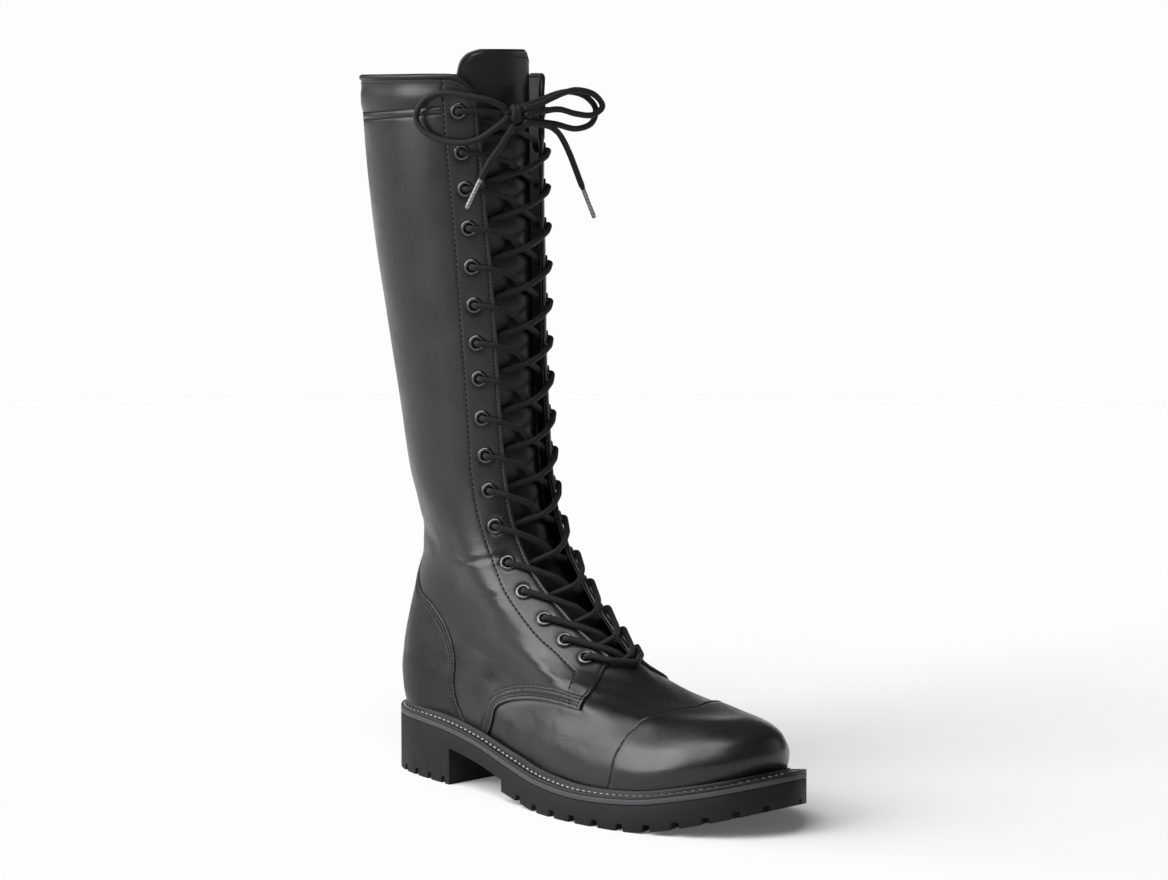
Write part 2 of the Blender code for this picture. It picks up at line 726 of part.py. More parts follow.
# ---------------------------------------------------------------- the upper
def upper_row(level):
    """One row of the upper's points, from the lateral facing round the back to the medial one."""
    gap = float(throat_half(level)[0]) if level > THROAT[0][0] else 0.0
    row = []
    for side in (LATERAL, MEDIAL):
        widest = turn_at(level, side, gap) if gap else pi
        turns = [widest * step / UPPER_STEPS for step in range(UPPER_STEPS + 1)]
        points = [tuple(ring_points(level, turn, side)) for turn in turns]
        row += points[::-1] if side == LATERAL else points[1:]
    return row


def upper_skin():
    """Outer points and faces of the upper; below the throat a row's two ends meet."""
    rows = [upper_row(level) for level in UPPER_LEVELS]
    foot = [(x, y, strip_top(x) + BED) for x, y, _ in rows[0]]
    rows = [foot] + rows
    columns = len(rows[0])
    points = [point for row in rows for point in row]
    faces = [tuple(reversed(face)) for face in grid_faces(len(rows), columns)]
    return points, faces


def eyelet_places():
    return [
        (side, number + 1, level, side * arc)
        for side in (LATERAL, MEDIAL)
        for number, (level, arc) in enumerate(EYELET_ROWS)
    ]


class Seat:
    """Where an eyelet sits on the faceted leather: its middle, its axes and its flange's lift."""

    def __init__(self, skin, level, arc):
        normal = face_normal(level, arc)
        start = face_point(level, arc) + normal * 0.01
        self.middle = skin.ray_cast(start, -normal)[0]
        self.axis = normal
        self.across = (Vector((0, 0, 1)) - normal * normal.z).normalized()
        self.beside = normal.cross(self.across)
        heights = []
        for step in range(12):
            rim = self.point(EYELET_FLANGE, 2 * pi * step / 12, 0.01)
            hit = skin.ray_cast(rim, -normal)[0]
            if hit:
                heights.append((hit - self.middle).dot(normal))
        self.lift = max(heights + [0]) + GAP

    def point(self, radius, turn, height):
        return (
            self.middle
            + (self.across * cos(turn) + self.beside * sin(turn)) * radius
            + self.axis * height
        )


def eyelet_hole(seat):
    """Cutter for an eyelet's hole in the leather."""
    sections = []
    for height in (-0.006, 0.004):
        turns = [2 * pi * step / EYELET_SIDES for step in range(EYELET_SIDES)]
        sections.append([seat.point(EYELET_HOLE, turn, height) for turn in turns])
    return loft("eyelet_hole", sections)


def make_eyelet(name, seat, finish):
    """A rolled eyelet: a barrel through the leather and a crowned flange over it."""
    profile = (
        (EYELET_BORE, -EYELET_TAIL),
        (EYELET_BORE, seat.lift + EYELET_CROWN),
        (EYELET_FLANGE, seat.lift),
        (EYELET_BARREL, seat.lift),
        (EYELET_BARREL, -EYELET_TAIL),
    )
    sections = []
    for step in range(EYELET_SIDES):
        turn = 2 * pi * step / EYELET_SIDES
        sections.append([seat.point(radius, turn, height) for radius, height in profile])
    return smooth(loft(name, sections, finish, closed=True))


def zip_arc(level):
    """Where the zip's line crosses a level, as an arc from the front line."""
    _, points, along = half_ring(round(level, 4), MEDIAL)
    miss = points[:, 0] - zip_forward(points[:, 2])[:, 0]
    keep = (along > 0.02) & (along < 0.8 * along[-1])
    return float(np.interp(0, -miss[keep], along[keep]))


def zip_sheet(name, bottom, top, half, heights, finish=None, rows=12, columns=3):
    """A sheet along the zip's line."""
    levels = np.linspace(bottom, top, rows)
    spread = np.linspace(-half, half, columns)
    made = [(float(level), [zip_arc(level) + offset for offset in spread]) for level in levels]
    return sheet(name, made, heights, finish)


def make_upper(seats, finish):
    """The leather: vamp, quarters and shaft in one shell, cut for the eyelets and the zip."""
    points, faces = upper_skin()
    upper = mesh_object("upper", points, faces, finish)
    work = bmesh.new()
    work.from_mesh(upper.data)
    bmesh.ops.remove_doubles(work, verts=work.verts, dist=1e-6)
    bmesh.ops.dissolve_degenerate(work, edges=work.edges, dist=1e-7)
    work.to_mesh(upper.data)
    work.free()
    wall = upper.modifiers.new("Wall", "SOLIDIFY")
    wall.thickness = WALL
    wall.offset = -1
    holes = cutter(joined("eyelet_holes", [eyelet_hole(seat) for seat in seats.values()]))
    boolean(upper, holes)
    slot = zip_sheet("zip_slot", ZIP_LOW - 0.03, TOP + 0.1, ZIP_SLOT, lambda _: (0.004, -0.006))
    boolean(upper, cutter(slot))
    return smooth(upper)


def make_tongue(finish):
    """The tongue, from its root under the vamp to its rounded top above the collar."""
    rows = []
    for level, half in TONGUE_WIDTH:
        rows.append((level, [half * share for share in (-1, -0.8, -0.42, 0, 0.42, 0.8, 1)]))

    def heights(level):
        sink = float(tongue_sink(level)[0])
        return -sink, -sink - TONGUE_THICK

    return smooth(sheet("tongue", rows, heights, finish))


# ---------------------------------------------------------------- the lace
KNOT = Vector((0.0715, -0.0195, 0.3950))      # middle of the bow's knot
KNOT_SIZE = Vector((0.0054, 0.0056, 0.0060))  # its half sizes: off the boot, along the bow, upward
BOW_ALONG = Vector((0.33, 0.944, 0)).normalized()
BOW_OFF = Vector((0.944, -0.33, 0)).normalized()


def at_knot(off, along, up):
    """Point given from the knot's middle: off the boot, along the bow, and up."""
    return tuple(KNOT + BOW_OFF * off + BOW_ALONG * along + Vector((0, 0, up)))


# Routes of the bow's loops and ends, each starting at the knot; the loops also end there.
LOOP_LATERAL = (
    at_knot(0.0015, -0.0060, 0.0036),
    (0.0668, -0.0330, 0.4026), (0.0575, -0.0428, 0.4056), (0.0450, -0.0520, 0.4072),
    (0.0358, -0.0567, 0.4033), (0.0303, -0.0585, 0.3938), (0.0339, -0.0570, 0.3861),
    (0.0417, -0.0532, 0.3812), (0.0495, -0.0486, 0.3790), (0.0572, -0.0432, 0.3791),
    (0.0628, -0.0380, 0.3815), (0.0680, -0.0320, 0.3868),
    at_knot(0.0020, -0.0060, -0.0030),
)
LOOP_MEDIAL_FRONT = (
    at_knot(0.0034, 0.0057, 0.0034),
    (0.0781, -0.0060, 0.4008), (0.0788, 0.0030, 0.4040), (0.0802, 0.0127, 0.4074),
    (0.0811, 0.0221, 0.4088), (0.0827, 0.0350, 0.4055), (0.0830, 0.0405, 0.3990),
    (0.0817, 0.0340, 0.3943), (0.0803, 0.0215, 0.3950), (0.0793, 0.0090, 0.3977),
    (0.0786, -0.0040, 0.3966),
    at_knot(0.0042, 0.0057, -0.0004),
)
LOOP_MEDIAL_BACK = (
    at_knot(-0.0006, 0.0058, 0.0044),
    (0.0734, -0.0050, 0.4018), (0.0738, 0.0030, 0.4042), (0.0745, 0.0127, 0.4068),
    (0.0752, 0.0215, 0.4077), (0.0768, 0.0330, 0.4048), (0.0780, 0.0398, 0.3976),
    (0.0779, 0.0371, 0.3898), (0.0768, 0.0255, 0.3862), (0.0755, 0.0092, 0.3892),
    (0.0744, -0.0030, 0.3905),
    at_knot(0.0002, 0.0058, -0.0042),
)
END_LATERAL = (
    at_knot(0.0030, -0.0018, -0.0062),
    (0.0722, -0.0250, 0.3840), (0.0694, -0.0288, 0.3765), (0.0665, -0.0325, 0.3700),
    (0.0643, -0.0352, 0.3640), (0.0622, -0.0374, 0.3580),
)
END_MEDIAL = (
    at_knot(0.0042, 0.0048, -0.0044),
    (0.0789, -0.0060, 0.3892), (0.0789, 0.0029, 0.3875), (0.0790, 0.0085, 0.3842),
    (0.0792, 0.0125, 0.3795), (0.0796, 0.0170, 0.3720), (0.0800, 0.0206, 0.3646),
    (0.0805, 0.0240, 0.3570), (0.0809, 0.0268, 0.3510),
)
AGLET = 0.0013
AGLET_LENGTH = 0.018
AGLET_SIDES = 8


def strand(seats, start, end, sign):
    """Points of one strand across the throat, from the top of a bore to the bottom of another."""
    (from_side, from_row), (to_side, to_row) = start, end
    from_level, from_arc = EYELET_ROWS[from_row - 1]
    to_level, to_arc = EYELET_ROWS[to_row - 1]
    from_arc, to_arc = from_side * from_arc, to_side * to_arc

    def along(arc, height):
        share = (arc - from_arc) / (to_arc - from_arc)
        level = from_level + (to_level - from_level) * share
        return off_face(level, arc, height)

    half = float(throat_half((from_level + to_level) / 2)[0])
    upper_seat, lower_seat = seats[start], seats[end]
    return [
        upper_seat.point(0, 0, LACE_OVER),
        along(from_side * half, LACE_OVER),
        along(0, LACE_CROSS * sign),
        along(to_side * half, -LACE_UNDER + LACE_EASE),
        lower_seat.point(0, 0, -LACE_UNDER),
    ]


def half_lace(seats, side):
    """Points of the lace that starts at one top eyelet and zigzags down."""
    entry = at_knot(-0.0026, side * 0.0058, 0)
    level, _ = EYELET_ROWS[0]
    half = float(throat_half(level)[0])
    points = [entry, off_face(level, side * half, LACE_OVER + LACE_EASE)]
    top_seat = seats[(side, 1)]
    points.append(top_seat.point(0, 0, LACE_OVER))
    points.append(top_seat.point(0, 0, -LACE_UNDER))
    return points


def lace_path(seats, first_side):
    """The strand under row 1 is drawn from row 1's bore to row 2's, both below the facings."""
    points = half_lace(seats, first_side)
    side = -first_side
    level, _ = EYELET_ROWS[0]
    next_level, _ = EYELET_ROWS[1]
    middle = (level + next_level) / 2
    half = float(throat_half(middle)[0])
    points.append(off_face(level - LACE_TOP_SHIFT, first_side * half, -LACE_UNDER + LACE_EASE))
    points.append(off_face(middle, 0, -LACE_TOP_CROSS + LACE_CROSS * side))
    points.append(off_face(next_level + LACE_TOP_SHIFT, side * half, -LACE_UNDER + LACE_EASE))
    points.append(seats[(side, 2)].point(0, 0, -LACE_UNDER))
    for row in range(2, EYELETS):
        points += strand(seats, (side, row), (-side, row + 1), side)
        side = -side
    points.append(seats[(side, EYELETS)].point(0, 0, LACE_OVER))
    return points, side


def make_lace_crossings(seats, finish):
    """Both halves of the lace from the knot down through the eyelets, joined by the lowest bar."""
    halves = []
    for first_side in (LATERAL, MEDIAL):
        points, last_side = lace_path(seats, first_side)
        if last_side == LATERAL:
            level, arc = EYELET_ROWS[-1]
            points += [off_face(level, share * arc, LACE_OVER) for share in (-0.5, 0, 0.5)]
            points.append(seats[(MEDIAL, EYELETS)].point(0, 0, LACE_OVER))
        halves.append(rod("lace_crossings" if first_side == LATERAL else "lace_other_half",
                          points, LACE, LACE_SIDES, finish))
    boolean(halves[0], cutter(halves[1]), "UNION")
    return smooth(halves[0])


def make_knot(finish):
    """The bow's knot as one rounded solid."""
    work = bmesh.new()
    bmesh.ops.create_icosphere(work, subdivisions=2, radius=1)
    for vertex in work.verts:
        unit = vertex.co.copy()
        vertex.co = (
            KNOT
            + BOW_OFF * unit.x * KNOT_SIZE.x
            + BOW_ALONG * unit.y * KNOT_SIZE.y
            + Vector((0, 0, unit.z * KNOT_SIZE.z))
        )
    mesh = bpy.data.meshes.new("lace_knot")
    work.to_mesh(mesh)
    work.free()
    knot = bpy.data.objects.new("lace_knot", mesh)
    bpy.context.scene.collection.objects.link(knot)
    mesh.materials.append(finish)
    return smooth(knot)


def cord(name, route, radius, finish, spacing=0.0105):
    """A cord as a bevelled curve on a smooth line through its route."""
    curve = bpy.data.curves.new(name, "CURVE")
    curve.dimensions = "3D"
    curve.bevel_depth = radius
    curve.bevel_resolution = 2
    curve.use_fill_caps = True
    points = open_curve(route, spacing)
    spline = curve.splines.new("POLY")
    spline.points.add(len(points) - 1)
    for point, place in zip(spline.points, points):
        point.co = (*place, 1)
    made = bpy.data.objects.new(name, curve)
    bpy.context.scene.collection.objects.link(made)
    curve.materials.append(finish)
    return made


def make_bow(lace, tip):
    make_knot(lace)
    cord("lace_loop_lateral", LOOP_LATERAL, LACE, lace)
    cord("lace_loop_medial_front", LOOP_MEDIAL_FRONT, LACE, lace)
    cord("lace_loop_medial_back", LOOP_MEDIAL_BACK, LACE, lace)
    cord("lace_end_lateral", END_LATERAL, LACE, lace)
    cord("lace_end_medial", END_MEDIAL, LACE, lace)
    for name, route in (("aglet_lateral", END_LATERAL), ("aglet_medial", END_MEDIAL)):
        end = Vector(route[-1])
        ahead = (end - Vector(route[-2])).normalized()
        rod(name, (end + ahead * GAP, end + ahead * (GAP + AGLET_LENGTH)), AGLET, AGLET_SIDES, tip)


# ---------------------------------------------------------------- the zip
SLIDER_LEVEL = 18.72
SLIDER_HALF = 0.0042         # half the slider's width
SLIDER_LENGTH = 0.0105
SLIDER_THICK = 0.0014
BRIDGE_HALF = 0.0010         # half the bridge's width
BRIDGE_REACH = 0.0026        # half its length
BRIDGE_HEIGHT = 0.0030       # its top above the slider's plate
BRIDGE_WALL = 0.0008
SLIDER_STAND = 0.0007        # the slider's plate above the leather
PIN = 0.0006                 # radius of the pull's pin and bars
PIN_HEIGHT = 0.0013          # the pin's axis above the slider's plate
PULL_HALF = 0.0021           # from the pull's middle to the middle of each bar
PULL_LENGTH = 0.0130
PULL_NARROW = 0.9            # how much narrower the pull is at its far end
PULL_MITRE = 0.3             # limit of its corners' mitres
PULL_SIDES = 6
PULL_TIP = 0.0040            # length of its tip, its half width at root and end, its half thickness
TIP_ROOT = 0.0009
TIP_END = 0.0012
TIP_HALF = 0.0004


class ZipFrame:
    """Middle of the slider's plate and its three directions: off the boot, up the zip, across it."""

    def __init__(self):
        arc = zip_arc(SLIDER_LEVEL)
        self.off = face_normal(SLIDER_LEVEL, arc)
        below = face_point(SLIDER_LEVEL - 0.2, zip_arc(SLIDER_LEVEL - 0.2))
        above = face_point(SLIDER_LEVEL + 0.2, zip_arc(SLIDER_LEVEL + 0.2))
        self.up = (above - below).normalized()
        self.off = (self.off - self.up * self.off.dot(self.up)).normalized()
        self.across = self.off.cross(self.up)
        self.middle = face_point(SLIDER_LEVEL, arc) + self.off * SLIDER_STAND

    def at(self, across, up, off):
        return self.middle + self.across * across + self.up * up + self.off * off


def make_slider(place, finish):
    """The slider's plate, narrower at its foot, with the bridge that holds the pull."""
    half = SLIDER_HALF
    length = SLIDER_LENGTH / 2
    outline = (
        (-half * 0.72, -length), (half * 0.72, -length), (half * 0.80, 0),
        (half, length * 0.55), (half * 0.85, length), (-half * 0.85, length),
        (-half, length * 0.55), (-half * 0.80, 0),
    )
    sections = [[place.at(x, y, off) for x, y in outline] for off in (0, SLIDER_THICK)]
    slider = loft("zip_slider", sections, finish)
    base = SLIDER_THICK - GAP
    top = SLIDER_THICK + BRIDGE_HEIGHT
    under = top - BRIDGE_WALL
    reach = BRIDGE_REACH
    outer = BRIDGE_REACH + BRIDGE_WALL
    arch = (
        (-outer, base), (-outer, under), (-reach, top), (reach, top), (outer, under), (outer, base),
        (reach, base), (reach, under), (-reach, under), (-reach, base),
    )
    sections = [[place.at(x, y, off) for y, off in arch] for x in (-BRIDGE_HALF, BRIDGE_HALF)]
    boolean(slider, cutter(loft("slider_bridge", sections)), "UNION")
    return slider


def make_pull(place, finish):
    """The pull: a pin under the bridge, two bars down to a cross bar, and a small tip."""
    axis_height = SLIDER_THICK + PIN_HEIGHT
    hinge = bpy.data.objects.new("zip_pull_hinge", None)
    hinge.location = place.at(0, 0, axis_height)
    bpy.context.scene.collection.objects.link(hinge)

    def at(across, up, off=0.0):
        return place.at(across, up, axis_height + off) - hinge.location

    loop = [
        at(0, 0), at(-PULL_HALF, 0), at(-PULL_HALF * PULL_NARROW, -PULL_LENGTH),
        at(PULL_HALF * PULL_NARROW, -PULL_LENGTH), at(PULL_HALF, 0),
    ]
    rings = []
    for here, point in enumerate(loop):
        came = (point - loop[here - 1]).normalized()
        goes = (loop[(here + 1) % len(loop)] - point).normalized()
        inward = goes - came
        inward = inward.normalized() if inward.length > 1e-6 else came.cross(place.off)
        reach = PIN / max(inward.cross(came).length, PULL_MITRE)
        ring = []
        for step in range(PULL_SIDES):
            turn = 2 * pi * step / PULL_SIDES
            ring.append(point + inward * cos(turn) * reach + place.off * sin(turn) * PIN)
        rings.append(ring)
    pull = loft("zip_pull", rings, finish, closed=True)
    root = -PULL_LENGTH - GAP
    end = -PULL_LENGTH - PULL_TIP
    tip = ((-TIP_ROOT, root), (TIP_ROOT, root), (TIP_END, end), (-TIP_END, end))
    sections = [[at(x, y, off) for x, y in tip] for off in (-TIP_HALF, TIP_HALF)]
    tag = cutter(loft("pull_tip", sections))
    tag.parent = hinge
    pull.parent = hinge
    boolean(pull, tag, "UNION")
    return pull


def make_zip(tape, metal):
    """The closed tape and teeth in the shaft's slot, the slider at its top and the pull."""
    heights = (-ZIP_SINK, -ZIP_SINK - ZIP_THICK)
    zip_sheet("zip_tape", ZIP_LOW, ZIP_TOP, ZIP_TAPE, lambda _: heights, tape)
    place = ZipFrame()
    make_slider(place, metal)
    make_pull(place, metal)


# ---------------------------------------------------------------- the boot
def main():
    for made in list(bpy.data.objects):
        bpy.data.objects.remove(made)

    leather = material("black_leather", (0.018, 0.018, 0.020), 0.34)
    tongue_leather = material("tongue_leather", (0.020, 0.020, 0.022), 0.40)
    rubber = material("black_rubber", (0.016, 0.016, 0.017), 0.75)
    strip = material("grey_strip", (0.16, 0.16, 0.17), 0.60)
    welt = material("black_welt", (0.020, 0.020, 0.021), 0.55)
    board = material("insole_board", (0.035, 0.033, 0.032), 0.80)
    gunmetal = material("gunmetal", (0.16, 0.16, 0.17), 0.30, 1.0)
    lace = material("black_lace", (0.015, 0.015, 0.016), 0.70)
    aglet = material("aglet_plastic", (0.35, 0.35, 0.36), 0.35)
    tape = material("zip_tape_cloth", (0.012, 0.012, 0.013), 0.80)
    steel = material("zip_steel", (0.60, 0.60, 0.60), 0.25, 1.0)

    make_outsole(rubber)
    make_midsole(strip)
    make_welt(welt)
    make_insole(board)

    points, faces = upper_skin()
    skin = BVHTree.FromPolygons(points, faces)
    seats = {(side, row): Seat(skin, level, arc) for side, row, level, arc in eyelet_places()}
    make_upper(seats, leather)
    make_tongue(tongue_leather)
    for (side, row), seat in seats.items():
        side_name = "lateral" if side == LATERAL else "medial"
        make_eyelet(f"eyelet_{side_name}_{row:02d}", seat, gunmetal)
    make_lace_crossings(seats, lace)
    make_bow(lace, aglet)
    make_zip(tape, steel)


main()
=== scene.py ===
"""Looks of a tall black lace-up combat boot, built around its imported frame.

The leather is cut into panels that lie on the last's outer face. A place on that face is given by
its level, from 0 at the sole to 19 at the collar, and by its turn round the boot, or by its distance
in millimetres from the front line or the back line. Lateral is -1 and medial is 1.
"""

from math import ceil, cos, pi, radians, sin

import bmesh
import bpy
import numpy as np
from bpy.props import FloatProperty, FloatVectorProperty, PointerProperty
from bpy.types import Operator, Panel, PropertyGroup
from mathutils import Matrix, Vector


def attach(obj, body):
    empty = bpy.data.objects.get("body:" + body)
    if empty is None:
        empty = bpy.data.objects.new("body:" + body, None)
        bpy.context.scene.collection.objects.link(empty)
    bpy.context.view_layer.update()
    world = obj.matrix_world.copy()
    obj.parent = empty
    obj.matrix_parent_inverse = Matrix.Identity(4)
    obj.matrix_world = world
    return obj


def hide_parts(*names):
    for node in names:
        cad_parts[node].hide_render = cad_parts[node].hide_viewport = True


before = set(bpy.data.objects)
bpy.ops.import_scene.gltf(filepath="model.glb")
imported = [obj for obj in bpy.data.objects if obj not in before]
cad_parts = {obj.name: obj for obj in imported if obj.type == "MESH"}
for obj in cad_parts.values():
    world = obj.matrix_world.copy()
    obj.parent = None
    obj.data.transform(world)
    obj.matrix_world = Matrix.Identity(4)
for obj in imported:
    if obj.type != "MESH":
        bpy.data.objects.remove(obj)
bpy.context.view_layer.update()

bl_info = {
    "name": "Combat boot looks",
    "version": (1, 0, 0),
    "blender": (4, 5, 0),
    "location": "3D View > Sidebar > Boot",
    "description": "Leather, stitches, lace, sole and zip of a tall lace-up boot",
    "category": "Object",
}

LATERAL = -1
MEDIAL = 1
MM = 0.001

# ---------------------------------------------------------------- the last and the sole
# Metres, with x from the heel to the toe, y to the medial side and z up from the floor.
HEEL_BACK = -0.036
TOE_TIP = 0.270
GAP = 0.0003                 # clearance between pieces
BED = 0.0007                 # height of the face's lower end over the welt line
MIDSOLE = 0.0032             # thickness of the grey strip
SHANK = 0.009                # thickness of the rubber under the strip
HEEL_BREAST = 0.038          # the heel block's front
FOREFOOT_START = 0.092
BLOCK_OVERLAP = 0.001
NOTCH_DEPTH = 0.0042
NOTCH_REACH = 0.012
HEEL_NOTCH = (0.043, 0.0147, 4, 0.0040)       # first, pitch, count, width, along the edge from the back
FOREFOOT_NOTCH = (0.167, 0.0173, 11, 0.0052)
CHANNEL = 0.004              # width of the groove inside the edge lugs
EDGE_LUG = 0.0105
HEEL_CHANNEL = (-0.022, 0.028)
FOREFOOT_CHANNEL = (0.108, 0.256)
LAND_NOTCH = 0.005
LAND_NOTCHES = (0.120, 0.212, 0.232)
LAND_INSET = 0.015
CUT_CLEAR = 0.003            # how far a cutter stands out of what it cuts
RING_FOOT = 0.003            # height of level 0 over the welt line
SOLE_FADE = 7.0              # level above which the face stops following the welt line
ZIP_HALF = 0.0060            # half width of the zip's opening
ZIP_LOW = 9.35
ZIP_TOP = 18.93

SOLE_COLUMNS = ("x", "medial_y", "lateral_y")
SOLE = (
    (HEEL_BACK, 0.0000, 0.0000),
    (-0.027, 0.0220, -0.0225),
    (0.000, 0.0345, -0.0355),
    (0.040, 0.0360, -0.0420),
    (0.080, 0.0350, -0.0480),
    (0.118, 0.0400, -0.0555),
    (0.153, 0.0490, -0.0605),
    (0.188, 0.0540, -0.0585),
    (0.218, 0.0515, -0.0505),
    (0.243, 0.0420, -0.0380),
    (0.260, 0.0270, -0.0225),
    (TOE_TIP, 0.0030, 0.0030),
)
WELT_LINE = (
    (-0.040, 0.0365), (0.000, 0.0365), (0.025, 0.0355), (0.060, 0.0315), (0.095, 0.0245),
    (0.130, 0.0188), (0.165, 0.0170), (0.200, 0.0185), (0.235, 0.0245), (0.272, 0.0345),
)
TREAD_LINE = (
    (0.090, 0.0060), (0.112, 0.0025), (0.130, 0.0000), (0.150, 0.0000),
    (0.198, 0.0000), (0.215, 0.0018), (0.240, 0.0075), (0.270, 0.0165),
)
RING_COLUMNS = (
    "back_x", "back_z", "front_x", "front_z", "back_y", "front_y", "heel",
    "waist_lateral", "waist_medial", "ball_lateral", "ball_medial",
    "tail", "nose", "nose_power", "tip",
)
RINGS = (
    (-.0305, .0395, .2570, .0375, .0000, .0010, .0310, .0420, .0290, .0545, .0465, .115, .30, 2.15, 1.00),
    (-.0335, .0520, .2585, .0470, .0000, .0010, .0325, .0410, .0300, .0545, .0465, .125, .28, 2.20, 1.00),
    (-.0350, .0630, .2555, .0560, .0000, .0010, .0325, .0380, .0305, .0515, .0440, .135, .28, 2.15, 1.00),
    (-.0350, .0730, .2475, .0623, .0000, .0010, .0315, .0350, .0305, .0465, .0400, .150, .30, 2.10, 0.97),
    (-.0340, .0830, .2330, .0654, .0000, .0000, .0305, .0330, .0295, .0425, .0355, .160, .34, 2.00, 0.90),
    (-.0325, .0930, .2130, .0646, .0000, .0000, .0295, .0320, .0290, .0400, .0335, .180, .40, 2.00, 0.80),
    (-.0300, .1040, .1920, .0658, .0000, -.0010, .0285, .0310, .0290, .0385, .0330, .200, .44, 2.00, 0.70),
    (-.0270, .1150, .1710, .0710, .0000, -.0010, .0280, .0310, .0290, .0370, .0330, .230, .48, 2.00, 0.68),
    (-.0235, .1270, .1510, .0813, .0000, -.0010, .0280, .0310, .0295, .0360, .0345, .270, .50, 2.00, 0.70),
    (-.0210, .1380, .1315, .0940, .0000, -.0005, .0285, .0320, .0305, .0360, .0345, .320, .50, 2.00, 0.75),
    (-.0205, .1480, .1130, .1075, .0000, .0000, .0295, .0330, .0315, .0360, .0350, .380, .50, 2.00, 0.82),
    (-.0220, .1590, .0985, .1215, .0000, .0005, .0310, .0340, .0330, .0360, .0355, .440, .50, 2.00, 0.90),
    (-.0245, .1710, .0855, .1380, .0000, .0000, .0330, .0355, .0345, .0365, .0360, .480, .50, 2.00, 0.96),
    (-.0270, .1850, .0765, .1590, -.0010, -.0010, .0350, .0365, .0360, .0370, .0365, .500, .50, 2.00, 1.00),
    (-.0290, .2030, .0715, .1850, -.0020, -.0020, .0370, .0375, .0375, .0380, .0375, .500, .50, 2.00, 1.00),
    (-.0320, .2280, .0695, .2170, -.0035, -.0035, .0390, .0390, .0390, .0390, .0390, .500, .50, 2.00, 1.00),
    (-.0370, .2650, .0680, .2600, -.0050, -.0050, .0415, .0415, .0415, .0415, .0415, .500, .50, 2.00, 1.00),
    (-.0440, .3150, .0665, .3130, -.0065, -.0065, .0450, .0450, .0450, .0450, .0450, .500, .50, 2.00, 1.00),
    (-.0495, .3650, .0655, .3650, -.0080, -.0080, .0480, .0480, .0480, .0480, .0480, .500, .50, 2.00, 1.00),
    (-.0530, .4150, .0655, .4165, -.0090, -.0090, .0495, .0495, .0495, .0495, .0495, .500, .50, 2.00, 1.00),
)
TOP = len(RINGS) - 1
THROAT = (
    (7.85, 0.0000), (8.05, 0.0085), (8.50, 0.0105), (9.00, 0.0125), (9.50, 0.0148), (10.5, 0.0172),
    (12.0, 0.0192), (14.0, 0.0202), (16.0, 0.0215), (17.5, 0.0238), (19.0, 0.0268),
)
EYELET_ROWS = (
    (18.62, .0388), (18.16, .0372), (17.75, .0356), (17.31, .0345), (16.88, .0336), (16.47, .0330),
    (16.04, .0325), (15.58, .0320), (15.00, .0315), (14.32, .0312), (13.56, .0315), (12.64, .0330),
    (11.47, .0350), (10.36, .0362), (9.32, .0355), (8.56, .0333), (7.94, .0292),
)
TONGUE_WIDTH = (
    (6.9, 0.0180), (7.4, 0.0200), (8.2, 0.0215), (9.0, 0.0235), (10.0, 0.0250), (11.0, 0.0260),
    (12.2, 0.0275), (13.6, 0.0285), (15.4, 0.0310), (17.2, 0.0350), (18.6, 0.0390), (19.0, 0.0395),
    (19.15, 0.0375), (19.24, 0.0325), (19.285, 0.0240),
)
TONGUE_SINK = ((6.9, 0.0026), (7.4, 0.0030), (8.1, 0.0083), (20.0, 0.0083))
ZIP_LINE = ((0.110, 0.0460), (0.150, 0.0400), (0.200, 0.0330), (0.300, 0.0240), (0.420, 0.0200))


# ---------------------------------------------------------------- smooth curves
def curve_slopes(knots, values):
    """Slopes at the rows of a table that keep the curve through them from overshooting."""
    step = np.diff(knots)[:, None]
    rise = np.diff(values, axis=0) / step
    slope = np.zeros_like(values)
    before, after = rise[:-1], rise[1:]
    weight_before = 2 * step[1:] + step[:-1]
    weight_after = step[1:] + 2 * step[:-1]
    same = before * after > 0
    steep = np.where(same, before, 1)
    steeper = np.where(same, after, 1)
    mean = (weight_before + weight_after) / (weight_before / steep + weight_after / steeper)
    slope[1:-1] = np.where(same, mean, 0)
    slope[0] = end_slope(step[0], step[1], rise[0], rise[1])
    slope[-1] = end_slope(step[-1], step[-2], rise[-1], rise[-2])
    return slope


def end_slope(near_step, far_step, near_rise, far_rise):
    """Slope at the end of a table, kept from overshooting."""
    slope = ((2 * near_step + far_step) * near_rise - near_step * far_rise) / (near_step + far_step)
    slope = np.where(slope * near_rise <= 0, 0, slope)
    limited = (near_rise * far_rise < 0) & (abs(slope) > abs(3 * near_rise))
    return np.where(limited, 3 * near_rise, slope)


def knot_before(knots, at):
    """The knot before each place, the step to the next one, and the share of it that is passed."""
    left = np.clip(np.searchsorted(knots, at, side="right") - 1, 0, len(knots) - 2)
    step = knots[left + 1] - knots[left]
    return left, step, (at - knots[left]) / step


def cubic(values, slopes, step, share):
    """Cubic between two values with the slopes there."""
    rest = 1 - share
    return (
        values[0] * rest**2 * (1 + 2 * share)
        + values[1] * share**2 * (1 + 2 * rest)
        + slopes[0] * step * share * rest**2
        - slopes[1] * step * share**2 * rest
    )


def hermite(knots, values, slope, at):
    """Cubics through the knots with the given slopes, read at one place or many."""
    left, step, share = knot_before(knots, np.asarray(at, float))
    return cubic((values[left], values[left + 1]), (slope[left], slope[left + 1]),
                 step[..., None], share[..., None])


def table_curve(rows):
    """Function that reads a smooth curve through a table's rows; one column gives plain numbers."""
    rows = np.asarray(rows, float)
    knots, values = rows[:, 0], rows[:, 1:]
    slope = curve_slopes(knots, values)

    def read(at):
        found = hermite(knots, values, slope, np.clip(at, knots[0], knots[-1]))
        return found[..., 0] if values.shape[1] == 1 else found

    return read


